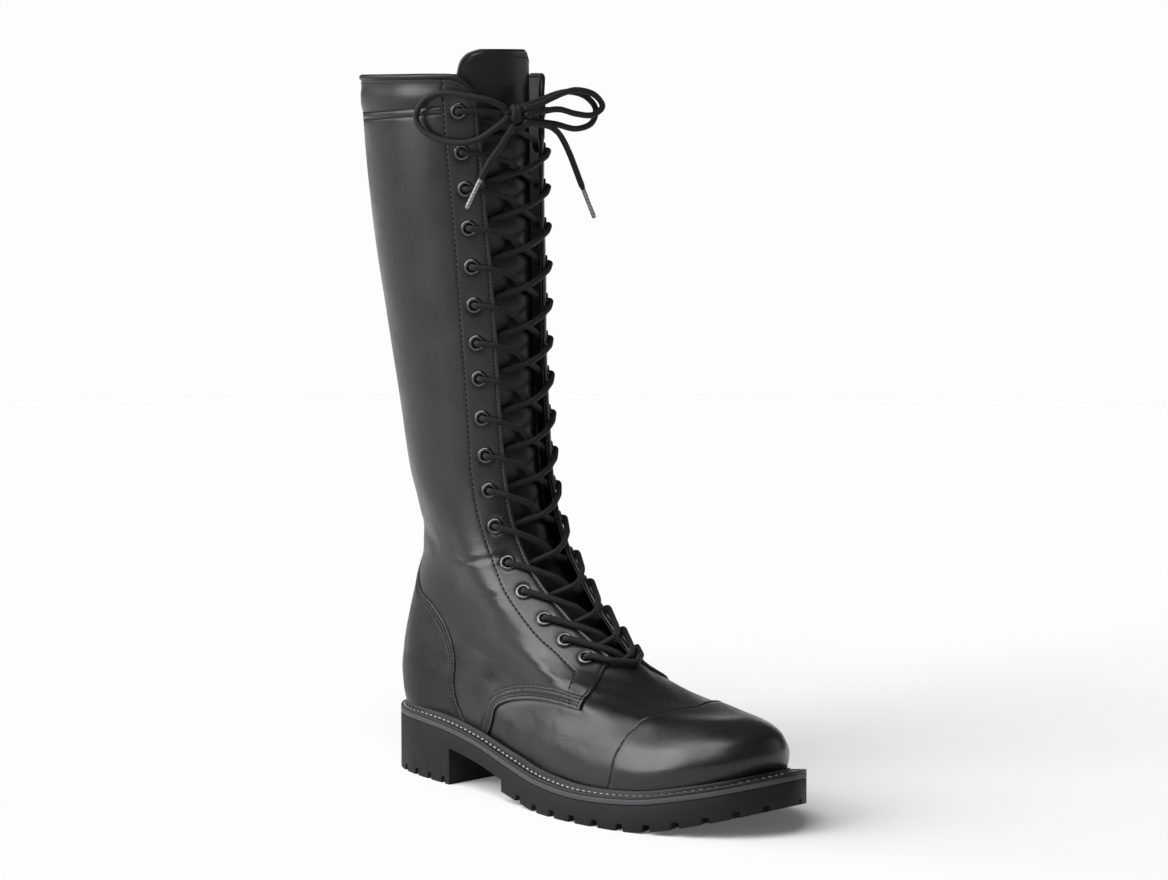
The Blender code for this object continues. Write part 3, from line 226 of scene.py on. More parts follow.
def curve_of_each(knots, values, at):
    """Reads, at each place, the curve through that place's own column of values."""
    left, step, share = knot_before(knots, at)
    ends = [
        [np.take_along_axis(table, row[None], axis=0)[0] for row in (left, left + 1)]
        for table in (values, curve_slopes(knots, values))
    ]
    return cubic(*ends, step, share)


def closed_curve(corners, count):
    """Evenly spaced points on a smooth closed curve through the corners."""
    ring = np.vstack([corners, corners[:1]])
    step = np.sqrt(np.linalg.norm(np.diff(ring, axis=0), axis=1))
    knots = np.concatenate([[0], np.cumsum(step)])
    number = len(corners)
    system = np.zeros((number, number))
    target = np.zeros((number, ring.shape[1]))
    for here in range(number):
        last = step[here - 1]
        following = step[here]
        system[here, here] = 2 * (1 / last + 1 / following)
        system[here, here - 1] += 1 / last
        system[here, (here + 1) % number] += 1 / following
        rise_in = (ring[here] - ring[(here - 1) % number]) / last**2
        rise_out = (ring[here + 1] - ring[here]) / following**2
        target[here] = 3 * (rise_in + rise_out)
    slope = np.linalg.solve(system, target)
    slope = np.vstack([slope, slope[:1]])
    return hermite(knots, ring, slope, np.linspace(0, knots[-1], count + 1))[:-1]


def lengths_along(points):
    """Distance of each point along a line."""
    return np.concatenate([[0], np.cumsum(np.linalg.norm(np.diff(points, axis=0), axis=1))])


def evenly(points, spacing, least=2):
    """Points about one spacing apart along a line of points."""
    points = np.asarray(points, float)
    along = lengths_along(points)
    count = max(int(round(along[-1] / spacing)), least - 1) + 1
    even = np.linspace(0, along[-1], count)
    return np.column_stack([np.interp(even, along, points[:, axis]) for axis in range(points.shape[1])])


def open_curve(route, spacing):
    """Points about one spacing apart on a smooth curve through a route's points."""
    route = np.asarray(route, float)
    if len(route) < 3:
        return evenly(route, spacing)
    step = np.sqrt(np.linalg.norm(np.diff(route, axis=0), axis=1))
    knots = np.concatenate([[0], np.cumsum(step)])
    slope = np.gradient(route, knots, axis=0, edge_order=2)
    fine = hermite(knots, route, slope, np.linspace(0, knots[-1], 60 * len(route)))
    return evenly(fine, spacing)


def unit(vectors):
    """Vectors at length one."""
    return vectors / np.maximum(np.linalg.norm(vectors, axis=-1, keepdims=True), 1e-12)


def ease(values):
    """Smooth step from 0 to 1."""
    values = np.clip(values, 0, 1)
    return values * values * (3 - 2 * values)


welt_height = table_curve(WELT_LINE)
tread_height = table_curve(TREAD_LINE)
ring_sizes = table_curve([(level, *row) for level, row in enumerate(RINGS)])
throat_half = table_curve(THROAT)
tongue_half = table_curve(TONGUE_WIDTH)
tongue_sink = table_curve(TONGUE_SINK)
zip_forward = table_curve(ZIP_LINE)


# ---------------------------------------------------------------- the last's outer face
def ring_face(level, turn):
    """Points of the face at levels up to the collar's; below level 0 it runs down to its bed."""
    turn = (turn + pi) % (2 * pi) - pi
    medial = turn > 0
    size = dict(zip(RING_COLUMNS, np.moveaxis(ring_sizes(level), -1, 0)))
    share = (1 - np.cos(turn)) / 2
    waist = np.where(medial, size["waist_medial"], size["waist_lateral"])
    ball = np.where(medial, size["ball_medial"], size["ball_lateral"])
    knots = np.array([0, 0.12, 0.42, 0.70, 1])
    columns = np.stack([size["heel"], size["heel"], waist, ball, ball * size["tip"]])
    half = curve_of_each(knots, columns, share)
    to_tail = np.clip((size["tail"] - share) / size["tail"], 0, 1)
    to_nose = np.clip((share - 1 + size["nose"]) / size["nose"], 0, 1)
    half = half * np.sqrt(1 - to_tail**2)
    half = half * (1 - to_nose ** size["nose_power"]) ** (1 / size["nose_power"])
    x = size["back_x"] + (size["front_x"] - size["back_x"]) * share
    y = size["back_y"] + (size["front_y"] - size["back_y"]) * share**1.5 + np.where(medial, half, -half)
    fade = ease(1 - level / SOLE_FADE)
    back_x, back_z, front_x, front_z = RINGS[0][:4]
    straight = back_z + (front_z - back_z) * np.clip((x - back_x) / (front_x - back_x), 0, 1)
    z = size["back_z"] + (size["front_z"] - size["back_z"]) * share
    z = z + fade * (welt_height(x) + RING_FOOT - straight)
    z = z + np.minimum(level, 0) * (RING_FOOT - BED)
    return np.stack([x, y, z], axis=-1)


def boot_face(level, turn):
    """Points of the face; turn is 0 at the back line and pi at the front line, past the medial side."""
    level, turn = np.broadcast_arrays(np.asarray(level, float), np.asarray(turn, float))
    shape = level.shape
    level, turn = level.ravel(), turn.ravel()
    over = np.clip(level - TOP, 0, None)[:, None]
    points = ring_face(np.minimum(level, TOP), turn)
    if over.any():
        points = points * (1 + over) - ring_face(np.full_like(level, TOP - 1), turn) * over
    return points.reshape(*shape, 3)


def face_normal(level, turn):
    """Outward directions of the face."""
    up = boot_face(level + 0.04, turn) - boot_face(level - 0.04, turn)
    around = boot_face(level, turn + 0.015) - boot_face(level, turn - 0.015)
    return unit(np.cross(up, around))


class Girth:
    """Distances round the boot's face, from the front line, at every level and turn."""

    def __init__(self):
        self.step = 0.05
        self.levels = np.arange(-1, 19.5, self.step)
        self.turns = np.linspace(pi, 0, 241)
        self.arcs = {}
        for side in (LATERAL, MEDIAL):
            points = boot_face(self.levels[:, None], side * self.turns[None])
            gaps = np.linalg.norm(np.diff(points, axis=1), axis=2)
            self.arcs[side] = np.pad(np.cumsum(gaps, axis=1), ((0, 0), (1, 0)))

    def rows(self, level, medial):
        place = np.clip((level - self.levels[0]) / self.step, 0, len(self.levels) - 1.001)
        low = place.astype(int)
        share = (place - low)[:, None]
        found = []
        for side in (LATERAL, MEDIAL):
            found.append(self.arcs[side][low] * (1 - share) + self.arcs[side][low + 1] * share)
        return np.where(medial[:, None], found[1], found[0])

    def turn(self, level, arc):
        """Turn of places at signed distances from the front line; lateral ones lie past pi."""
        level, arc = np.broadcast_arrays(np.asarray(level, float), np.asarray(arc, float))
        shape = level.shape
        level, arc = level.ravel(), arc.ravel()
        own = self.rows(level, arc > 0)
        here = np.arange(len(level))
        left = np.clip((own < abs(arc)[:, None]).sum(1) - 1, 0, len(self.turns) - 2)
        share = (abs(arc) - own[here, left]) / (own[here, left + 1] - own[here, left])
        turn = self.turns[left] + (self.turns[left + 1] - self.turns[left]) * share
        return np.where(arc > 0, turn, 2 * pi - turn).reshape(shape)

    def turn_from_back(self, level, arc):
        """Turn of places at signed distances from the back line; lateral ones are negative."""
        whole = self.rows(np.asarray(level, float), arc > 0)[:, -1]
        turn = self.turn(level, np.where(arc > 0, whole - arc, -whole - arc))
        return (turn + pi) % (2 * pi) - pi

    def arc(self, level, turn):
        """Signed distance of places from the front line."""
        turn = (turn + pi) % (2 * pi) - pi
        own = self.rows(level, turn > 0)
        place = np.clip((pi - abs(turn)) / pi * (len(self.turns) - 1), 0, len(self.turns) - 1.001)
        left = place.astype(int)
        here = np.arange(len(level))
        share = place - left
        found = own[here, left] * (1 - share) + own[here, left + 1] * share
        return np.where(turn > 0, found, -found)


girth = Girth()


def zip_turns(level):
    """Turn of the zip's line at each level."""
    turns = np.linspace(0.35, 2.6, 160)
    points = boot_face(np.asarray(level, float)[:, None], turns[None])
    miss = points[..., 0] - zip_forward(points[..., 2])
    left = np.argmax(miss > 0, axis=1) - 1
    here = np.arange(len(left))
    share = miss[here, left] / (miss[here, left] - miss[here, left + 1])
    return turns[left] + (turns[1] - turns[0]) * share


class Seam:
    """A line on the boot's face, through legs of (level, millimetres from the front or back line).

    Its inner side is the one with the place called inside.
    """

    LEVEL_LENGTH = 0.012
    SPACING = 0.001

    def __init__(self, legs, side, inside, from_back):
        levels, turns = [], []
        for number, leg in enumerate(legs):
            places = np.array(leg, float) * (self.LEVEL_LENGTH, MM * side)
            fine = open_curve(places, 0.0008)
            level, arc = fine[:, 0] / self.LEVEL_LENGTH, fine[:, 1]
            turn = girth.turn_from_back(level, arc) if from_back else girth.turn(level, arc)
            points = boot_face(level, turn)
            even = evenly(np.column_stack([points, level, turn]), self.SPACING)[1 if number else 0:]
            levels.append(even[:, 3])
            turns.append(even[:, 4])
        self.set(np.concatenate(levels), np.concatenate(turns))
        level, arc = np.array([inside[0]], float), np.array([inside[1] * MM * side])
        turn = girth.turn_from_back(level, arc) if from_back else girth.turn(level, arc)
        if self.distance(boot_face(level, turn))[0] < 0:
            self.aside = -self.aside

    def set(self, level, turn):
        self.level, self.turn = level, turn
        self.points = boot_face(level, turn)
        ahead = unit(np.diff(self.points, axis=0))
        self.ahead = unit(np.vstack([ahead[:1], ahead[:-1] + ahead[1:], ahead[-1:]]))
        self.normal = face_normal(level, turn)
        self.aside = unit(np.cross(self.normal, self.ahead))

    def distance(self, points):
        """Distance of points from the line, positive on its inner side."""
        result = np.empty(len(points))
        last = len(self.points) - 2
        for start in range(0, len(points), 8192):
            some = points[start:start + 8192]
            apart = (some**2).sum(1)[:, None] + (self.points**2).sum(1) - 2 * some @ self.points.T
            near = apart.argmin(1)
            found = []
            for first in (np.clip(near - 1, 0, last), np.clip(near, 0, last)):
                foot, run = self.points[first], self.points[first + 1] - self.points[first]
                share = ((some - foot) * run).sum(1) / (run * run).sum(1)
                away = some - foot - run * np.clip(share, 0, 1)[:, None]
                found.append((np.linalg.norm(away, axis=1), away))
            nearer = found[0][0] < found[1][0]
            away = np.where(nearer[:, None], found[0][1], found[1][1])
            size = np.where(nearer, found[0][0], found[1][0])
            side = (away * self.aside[near]).sum(1)
            result[start:start + 8192] = np.where(side < 0, -size, size)
        return result

    def shifted(self, distance):
        """The places of the line moved towards its inner side over the face."""
        return walk(self.level, self.turn, self.aside * np.reshape(distance, (-1, 1)))


def walk(level, turn, goal):
    """Places moved over the face by their own displacements."""
    steps = max(1, ceil(np.linalg.norm(goal, axis=1).max() / 0.0015))
    for _ in range(steps):
        here = boot_face(level, turn)
        by_level = (boot_face(level + 0.01, turn) - here) / 0.01
        by_turn = (boot_face(level, turn + 0.004) - here) / 0.004
        ll, lt, tt = (by_level**2).sum(1), (by_level * by_turn).sum(1), (by_turn**2).sum(1)
        gl, gt = (by_level * goal).sum(1) / steps, (by_turn * goal).sum(1) / steps
        det = ll * tt - lt * lt
        level = level + (gl * tt - gt * lt) / det
        turn = turn + (gt * ll - gl * lt) / det
    return level, turn


# ---------------------------------------------------------------- seam lines
# (level, millimetres from the front line), the same on both sides of the boot.
QUARTER_LOW = ((3.55, 108.6), (3.34, 140), (2.78, 175), (2.10, 202), (1.40, 216), (0.62, 219), (-1.2, 222))
QUARTER_FRONT = (
    (19.03, 165), (19.03, 80), (19.03, 50), (19.02, 41.5), (18.95, 33.9), (18.81, 28.6), (18.4, 26.2),
    (17.3, 23.0), (16.2, 20.6), (14.3, 19.9), (12.67, 19.5), (11.06, 18.9), (10.5, 17.4), (9.98, 15.4),
    (9.4, 14.4), (8.89, 12.3), (8.54, 10.6), (8.26, 9.6), (7.95, 15.5), (7.50, 24.8), (6.77, 38.7),
    (5.34, 68.2), (4.59, 86.0), (3.55, 108.6),
)
STAY = (
    ((19.2, 48.4), (18.59, 47.6), (17.40, 43.9), (16.5, 42.2), (15.03, 40.6), (13.92, 41.6), (13.05, 42.6),
     (11.77, 45.0), (10.79, 49.2), (9.76, 53.4), (8.59, 56.2), (8.05, 55.6), (7.64, 52.6), (6.82, 52.9)),
    ((6.82, 52.9), (5.95, 69.9), (5.16, 86.7), (3.30, 124)),
)
TOE_SEAM = ((-1.2, -105.5), (0.40, -104.6), (1.44, -101.3), (2.72, -84.6), (4.38, -44.9),
            (4.95, -30), (5.26, -20), (5.55, -10), (5.71, 0), (5.55, 10), (5.27, 20), (4.94, 30),
            (4.38, 44.9), (2.72, 84.6), (1.44, 101.3), (0.40, 104.6), (-1.2, 105.5))
# (level, millimetres from the back line)
COUNTER_SEAM = (
    (-1.2, -94), (0.04, -92.8), (1.20, -87.5), (3.52, -82.4), (5.44, -69.7), (6.60, -51), (6.95, -32),
    (7.6, -16), (8.5, -6), (8.8, 0), (8.5, 6), (7.6, 16), (6.95, 32), (6.60, 51), (5.44, 69.7),
    (3.52, 82.4), (1.20, 87.5), (0.04, 92.8), (-1.2, 94),
)
COLLAR_LOW = ((18.50, 0), (18.52, 60), (18.55, 90), (18.60, 125))

# Distances of the stitch rows from their panel's edge or seam.
LOW_ROWS = (0.0024, 0.0041, 0.0067, 0.0086)
FRONT_ROW = 0.0026
FRONT_ROW_UNDER_PIPING = 0.0019
COUNTER_ROWS = (0.0020, 0.0040)
TOE_ROW = 0.0021
ZIP_ROW = 0.0023
COLLAR_ROWS = (0.0, 0.0042)
TONGUE_ROW = 0.0034

# Creases: side, (level, millimetres from the front line) places, depth and half width in millimetres.
CREASES = (
    (LATERAL, ((9.95, 113), (10.66, 85)), 0.30, 1.3),
    (LATERAL, ((9.81, 113), (10.17, 96), (10.33, 87), (10.82, 69), (11.17, 57), (11.53, 46)), 0.45, 1.2),
    (LATERAL, ((9.60, 116), (10.36, 84), (11.01, 59), (11.36, 48), (11.61, 40), (11.82, 31)), 0.50, 1.3),
    (LATERAL, ((9.38, 118), (10.35, 80)), 0.30, 1.3),
    (LATERAL, ((8.66, 110), (9.13, 88), (9.27, 79), (9.60, 65)), 0.40, 1.5),
    (LATERAL, ((8.28, 110), (8.92, 86), (9.38, 70), (9.84, 54)), 0.45, 1.5),
    (LATERAL, ((8.80, 84), (9.45, 60)), 0.35, 1.3),
    (LATERAL, ((4.65, 191), (5.11, 164)), 0.30, 1.5),
    (LATERAL, ((4.24, 195), (4.70, 170), (4.46, 165)), 0.30, 1.5),
    (LATERAL, ((5.10, 151), (6.17, 106), (6.70, 84)), 0.32, 1.4),
    (LATERAL, ((5.00, 140), (5.93, 102), (5.98, 84)), 0.30, 1.4),
    (LATERAL, ((10.42, 146), (10.34, 130), (10.14, 114)), 0.80, 4.0),
    (LATERAL, ((3.20, 135), (2.60, 141)), 0.14, 1.8),
    (LATERAL, ((2.40, 149), (1.98, 153), (1.52, 159), (1.22, 162)), 0.20, 1.9),
    (LATERAL, ((2.15, 122), (1.70, 121)), 0.13, 1.8),
    (LATERAL, ((2.35, 174), (1.88, 175)), 0.14, 2.0),
    (MEDIAL, ((9.90, 112), (10.40, 84), (10.95, 60), (11.40, 40)), 0.50, 1.4),
    (MEDIAL, ((9.45, 120), (9.90, 92), (10.45, 66)), 0.40, 1.4),
    (MEDIAL, ((8.60, 108), (9.05, 84), (9.60, 58)), 0.45, 1.5),
    (MEDIAL, ((10.40, 150), (10.30, 132), (10.10, 116)), 0.80, 4.0),
    (MEDIAL, ((2.60, 150), (2.05, 155), (1.50, 159)), 0.35, 1.4),
    (MEDIAL, ((3.10, 130), (2.40, 136)), 0.30, 1.3),
)
# Broad dents and swellings: side, level, then millimetres from the front line, of height and of reach.
DENTS = (
    (LATERAL, 1.2, 184, -0.9, 15), (LATERAL, 2.2, 160, 0.5, 16), (LATERAL, 9.75, 84, 0.7, 13),
    (LATERAL, 8.9, 120, -0.9, 18), (LATERAL, 11.2, 88, -0.9, 16), (LATERAL, 7.0, 110, 0.6, 18),
    (LATERAL, 13.0, 110, 0.7, 26), (LATERAL, 15.2, 80, -0.7, 24), (LATERAL, 17.2, 115, 0.6, 30),
    (MEDIAL, 9.75, 84, 0.6, 13), (MEDIAL, 8.9, 120, -0.8, 18), (MEDIAL, 11.3, 90, -0.8, 18),
    (MEDIAL, 13.5, 60, 0.6, 22), (MEDIAL, 1.4, 180, -0.7, 16), (MEDIAL, 16.0, 60, -0.5, 24),
)


def front_row(level):
    """Distance of the stitch row from the facing's edge, and from the collar's rim under its piping."""
    return FRONT_ROW + FRONT_ROW_UNDER_PIPING * ease((level - 18.5) / 0.35)


WAVE_LENGTHS = (0.026, 0.031, 0.037, 0.044, 0.052, 0.061, 0.072, 0.085)
WAVE_HEIGHT = 0.000055


def swell_waves():
    """Long soft waves whose sum gives the leather its uneven lie."""
    chance = np.random.default_rng(11)
    waves = []
    for length in WAVE_LENGTHS:
        for _ in range(2):
            direction = unit(chance.normal(size=3)) * 2 * pi / length
            waves.append((direction, chance.uniform(0, 2 * pi), length / WAVE_LENGTHS[-1]))
    return waves


WAVES = swell_waves()


def relief(level, turn):
    """Height of the leather's own lie: soft waves, dents, and creases with a ridge on each side."""
    points = boot_face(level, turn)
    height = np.zeros(len(points))
    for direction, phase, size in WAVES:
        height += WAVE_HEIGHT * size * np.sin(points @ direction + phase)
    for side, at_level, arc, rise, reach in DENTS:
        middle = boot_face(*place(side, at_level, arc))[0]
        apart = ((points - middle) ** 2).sum(1)
        height += rise * MM * np.exp(-apart / (reach * MM) ** 2)
    for side, places, depth, width in CREASES:
        levels, arcs = np.array(places, float).T
        line = open_curve(boot_face(levels, girth.turn(levels, arcs * MM * side)), 0.003)
        away, share = nearest_on_line(points, line)
        ends = np.clip(np.minimum(share, 1 - share) * 4, 0, 1) ** 0.7
        across = away / (width * MM * 1.25)
        shape = np.exp(-(across**2)) - 0.42 * np.exp(-(((across - 1.9) / 1.0) ** 2))
        height -= depth * 0.8 * MM * shape * ends
    return height


def place(side, level, arc):
    """Level and turn of one place, from its millimetres from the front line."""
    level = np.array([level], float)
    return level, girth.turn(level, np.array([arc * MM * side]))


def nearest_on_line(points, line):
    """Distance to a line of points, and how far along it the nearest place lies, from 0 to 1."""
    best = np.full(len(points), 9.0)
    share_best = np.zeros(len(points))
    for number, (start, end) in enumerate(zip(line[:-1], line[1:])):
        run = end - start
        share = ((points - start) @ run) / (run @ run)
        held = np.clip(share, 0, 1)
        away = np.linalg.norm(points - start - held[:, None] * run, axis=1)
        nearer = away < best
        best = np.where(nearer, away, best)
        share_best = np.where(nearer, (number + held) / (len(line) - 1), share_best)
    return best, share_best


# ---------------------------------------------------------------- making meshes
def mesh_object(name, points, faces, *finishes):
    """An object from points and faces."""
    mesh = bpy.data.meshes.new(name)
    mesh.from_pydata(np.asarray(points, float).tolist(), [], faces)
    for finish in finishes:
        mesh.materials.append(finish)
    mesh.update()
    made = bpy.data.objects.new(name, mesh)
    bpy.context.scene.collection.objects.link(made)
    return made


def add_values(made, name, values):
    """A number for each point of a mesh, which its material reads."""
    layer = made.data.attributes.new(name, "FLOAT", "POINT")
    layer.data.foreach_set("value", np.asarray(values, np.float32))


def smooth(made, angle=40):
    """Shades an object smooth between its sharp edges."""
    made.data.shade_smooth()
    made.data.set_sharp_from_angle(angle=radians(angle))
    return made


def settle(made, body, slot, *nodes):
    """Puts a piece on its body and hides the nodes that it stands for; the slot is not used."""
    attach(made, body)
    if nodes:
        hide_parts(*nodes)
    return made


def grid_faces(rows, columns, closed_columns=False):
    """Corner numbers of a grid's faces, row by row, as an array."""
    across = columns if closed_columns else columns - 1
    row, column = np.meshgrid(np.arange(rows - 1), np.arange(across), indexing="ij")
    following = (column + 1) % columns
    corners = (
        row * columns + column,
        (row + 1) * columns + column,
        (row + 1) * columns + following,
        row * columns + following,
    )
    return np.stack(corners, axis=-1).reshape(-1, 4)


class Sheet:
    """Part of the boot's face as points with named fields, and faces that can be cut along them."""

    SNAP = 0.00004

    def __init__(self, levels, turns):
        level, turn = np.meshgrid(levels, turns, indexing="ij")
        self.fields = {"level": level.ravel(), "turn": turn.ravel()}
        self.faces = grid_faces(len(levels), len(turns))

    def points(self):
        return boot_face(self.fields["level"], self.fields["turn"])

    def cut(self, name, at=0.0, keep=0):
        """Cuts along a field's value; keep=1 keeps only what lies above it, -1 only what lies below."""
        value = self.fields[name] - at
        value[np.abs(value) < self.SNAP] = 0
        corners = np.where(self.faces < 0, self.faces[:, :1], self.faces)
        low, high = value[corners].min(1), value[corners].max(1)
        crossed = (low < 0) & (high > 0)
        whole = ~crossed
        if keep > 0:
            whole &= high > 0
        if keep < 0:
            whole &= low < 0
        count = len(value)
        born, ends, made = {}, [], []
        for face in self.faces[crossed].tolist():
            face = [corner for corner in face if corner >= 0]
            above, below = [], []
            for here, following in zip(face, face[1:] + face[:1]):
                first, second = value[here], value[following]
                if first >= 0:
                    above.append(here)
                if first <= 0:
                    below.append(here)
                if first * second < 0:
                    key = (min(here, following), max(here, following))
                    if key not in born:
                        born[key] = count + len(ends)
                        ends.append((here, following, first / (first - second)))
                    above.append(born[key])
                    below.append(born[key])
            if keep >= 0 and len(above) > 2:
                made.append(above)
            if keep <= 0 and len(below) > 2:
                made.append(below)
        if ends:
            start, stop, share = np.array(ends).T
            start, stop = start.astype(int), stop.astype(int)
            for key, values in self.fields.items():
                added = values[start] * (1 - share) + values[stop] * share
                self.fields[key] = np.concatenate([values, added])
        width = max([self.faces.shape[1]] + [len(face) for face in made])
        kept = np.full((whole.sum(), width), -1)
        kept[:, :self.faces.shape[1]] = self.faces[whole]
        new = np.array([face + [-1] * (width - len(face)) for face in made], int).reshape(-1, width)
        self.faces = np.vstack([kept, new])

    def cuts(self, name, *places):
        for at in places:
            self.cut(name, at)

    def tidy(self):
        """Drops unused points and joins points at one place."""
        used = np.unique(self.faces[self.faces >= 0])
        points = boot_face(self.fields["level"][used], self.fields["turn"][used])
        _, first, join = np.unique(np.round(points, 6), axis=0, return_index=True, return_inverse=True)
        number = np.full(len(self.fields["level"]), -1)
        number[used] = join.ravel()
        self.faces = np.where(self.faces < 0, -1, number[self.faces])
        for key, values in self.fields.items():
            self.fields[key] = values[used][first]

    def solid(self, name, outer, inner, finishes, values=None):
        """A closed piece of leather between two heights, with its cut edges in the second finish."""
        level, turn = self.fields["level"], self.fields["turn"]
        points, normal = boot_face(level, turn), face_normal(level, turn)
        count = len(points)
        faces, edges = [], {}
        for face in self.faces.tolist():
            kept = []
            for corner in face:
                if corner >= 0 and corner not in kept:
                    kept.append(corner)
            if len(kept) < 3:
                continue
            faces.append(kept)
            for here, following in zip(kept, kept[1:] + kept[:1]):
                if (following, here) in edges:
                    del edges[(following, here)]
                else:
                    edges[(here, following)] = True
        back = [[corner + count for corner in reversed(face)] for face in faces]
        walls = [[b, a, a + count, b + count] for a, b in edges]
        both = np.vstack([points + normal * outer[:, None], points + normal * inner[:, None]])
        made = mesh_object(name, both, faces + back + walls, *finishes)
        kinds = np.zeros(len(faces) + len(back) + len(walls), np.int32)
        kinds[len(faces):] = len(finishes) - 1
        made.data.polygons.foreach_set("material_index", kinds)
        for key, value in (values or {}).items():
            add_values(made, key, np.concatenate([value, value * 0]))
        return smooth(made, 50)


def level_rows(low, high, spacing, fine=None):
    """Levels about one spacing apart on the sides; fine=(low, high, spacing) is a denser stretch."""
    dense = np.linspace(low, high, 800)
    side = boot_face(dense, np.full_like(dense, 1.9))
    step = np.linalg.norm(np.diff(side, axis=0), axis=1)
    wanted = np.full(len(step), spacing)
    if fine:
        middle = (dense[1:] + dense[:-1]) / 2
        wanted[(middle > fine[0]) & (middle < fine[1])] = fine[2]
    along = np.concatenate([[0], np.cumsum(step / wanted)])
    return np.interp(np.linspace(0, along[-1], int(along[-1]) + 1), along, dense)


def turn_columns(level, start, end, count):
    """Turns at even distances along one level, from one turn to another."""
    dense = np.linspace(start, end, 1500)
    along = lengths_along(boot_face(np.full_like(dense, level), dense))
    return np.interp(np.linspace(0, along[-1], count), along, dense)


def rounded(distance, radius):
    """How far a cut edge's outer face drops within a radius of the edge."""
    inward = np.clip(distance / radius, 0, 1)
    return radius * (1 - np.sqrt(np.maximum(1 - (1 - inward) ** 2, 0)))


def bead(distance, at, width, height=1.0):
    """A soft line at a distance from an edge or a seam, raised or sunk."""
    return height * np.exp(-(((distance - at) / width) ** 2))


def groove(distance, at):
    """The shallow channel that a row of stitches draws in the leather, from 0 to 1."""
    return bead(distance, at, 0.0006)


# ---------------------------------------------------------------- tubes
def tube_parts(points, radius, sides):
    """Points and faces of a round tube with rounded ends, and each ring's place along it.

    The radius is one number, or one for each point.
    """
    points = np.asarray(points, float)
    radius = np.broadcast_to(radius, len(points)).astype(float)
    ahead = unit(np.gradient(points, axis=0))
    across = unit(np.cross(ahead[0], (0.3, 0.2, 0.93)))
    rings, marks = [], []
    along = lengths_along(points)
    turns = np.arange(sides) * 2 * pi / sides
    for here, point in enumerate(points):
        across = unit(across - ahead[here] * (across @ ahead[here]))
        beside = np.cross(ahead[here], across)
        circle = np.cos(turns)[:, None] * across + np.sin(turns)[:, None] * beside
        if here == 0:
            rings.append(point - ahead[here] * radius[0] * 0.5 + circle * radius[0] * 0.55)
            marks.append(-radius[0])
        rings.append(point + circle * radius[here])
        marks.append(along[here])
    rings.append(points[-1] + ahead[-1] * radius[-1] * 0.5 + circle * radius[-1] * 0.55)
    marks.append(along[-1] + radius[-1])
    count = len(rings)
    faces = grid_faces(count, sides, closed_columns=True)[:, ::-1].tolist()
    faces += [list(range(sides))[::-1], list(range((count - 1) * sides, count * sides))]
    return np.vstack(rings), faces, np.array(marks)


def tube(name, points, radius, sides, finish):
    """A tube object with a UV map in metres along it and round it."""
    places, faces, marks = tube_parts(points, radius, sides)
    made = mesh_object(name, places, faces, finish)
    wide = float(np.max(radius)) * 2 * pi
    layer = made.data.uv_layers.new(name="along")
    for face in made.data.polygons:
        corners = list(face.vertices)
        columns = [corner % sides for corner in corners]
        wraps = 0 in columns and sides - 1 in columns
        for loop, corner, column in zip(face.loop_indices, corners, columns):
            around = column + (sides if wraps and column == 0 else 0)
            layer.data[loop].uv = (marks[corner // sides], around / sides * wide)
    return smooth(made, 60)


# ---------------------------------------------------------------- stitches
STITCH_SHARES = (-1, -0.6, 0, 0.6, 1)
STITCH_SWELL = (0.45, 0.95, 1.0, 0.95, 0.45)
STITCH_SIDES = 6


class Stitches:
    """Rows of small stitches, gathered into one mesh."""

    def __init__(self):
        self.points = []

    def along(self, points, normals, pitch, length, radius, keep=None):
        """Lays stitches along a line; keep marks the line's points that carry any."""
        along = lengths_along(points)
        number = max(int(along[-1] / pitch), 1)
        middles = (np.arange(number) + 0.5) * along[-1] / number
        if keep is not None:
            middles = middles[np.interp(middles, along, np.asarray(keep, float)) > 0.5]
        if not len(middles):
            return

        def read(values, at):
            return np.column_stack([np.interp(at, along, values[:, axis]) for axis in range(3)])

        middle = read(points, middles)
        ahead = unit(read(points, middles + pitch * 0.2) - read(points, middles - pitch * 0.2))
        up = read(normals, middles)
        up = unit(up - ahead * (up * ahead).sum(1)[:, None])
        beside = np.cross(up, ahead)
        rings = []
        for share, swell in zip(STITCH_SHARES, STITCH_SWELL):
            centre = middle + ahead * share * length / 2 - up * radius * 1.3 * share**4
            for side in range(STITCH_SIDES):
                turn = 2 * pi * side / STITCH_SIDES
                rings.append(centre + (beside * cos(turn) + up * sin(turn)) * radius * swell)
        self.points.append(np.stack(rings, axis=1))

    def make(self, name, finish):
        points = np.concatenate(self.points)
        rings = len(STITCH_SHARES)
        one = grid_faces(rings, STITCH_SIDES, closed_columns=True)[:, ::-1]
        size = rings * STITCH_SIDES
        ends = [list(range(STITCH_SIDES))[::-1], list(range(size - STITCH_SIDES, size))]
        faces = []
        for start in range(0, len(points) * size, size):
            faces += (one + start).tolist()
            faces += [[corner + start for corner in end] for end in ends]
        made = mesh_object(name, points.reshape(-1, 3), faces, finish)
        made.data.shade_smooth()
        return made


# ---------------------------------------------------------------- finishes
BRAID_PITCH = 0.0017         # length of one strand's turn in the lace's braid
TAPE_RIB = 0.0007            # spacings of the zip tape's weave, across it and along it
TAPE_PICK = 0.0005


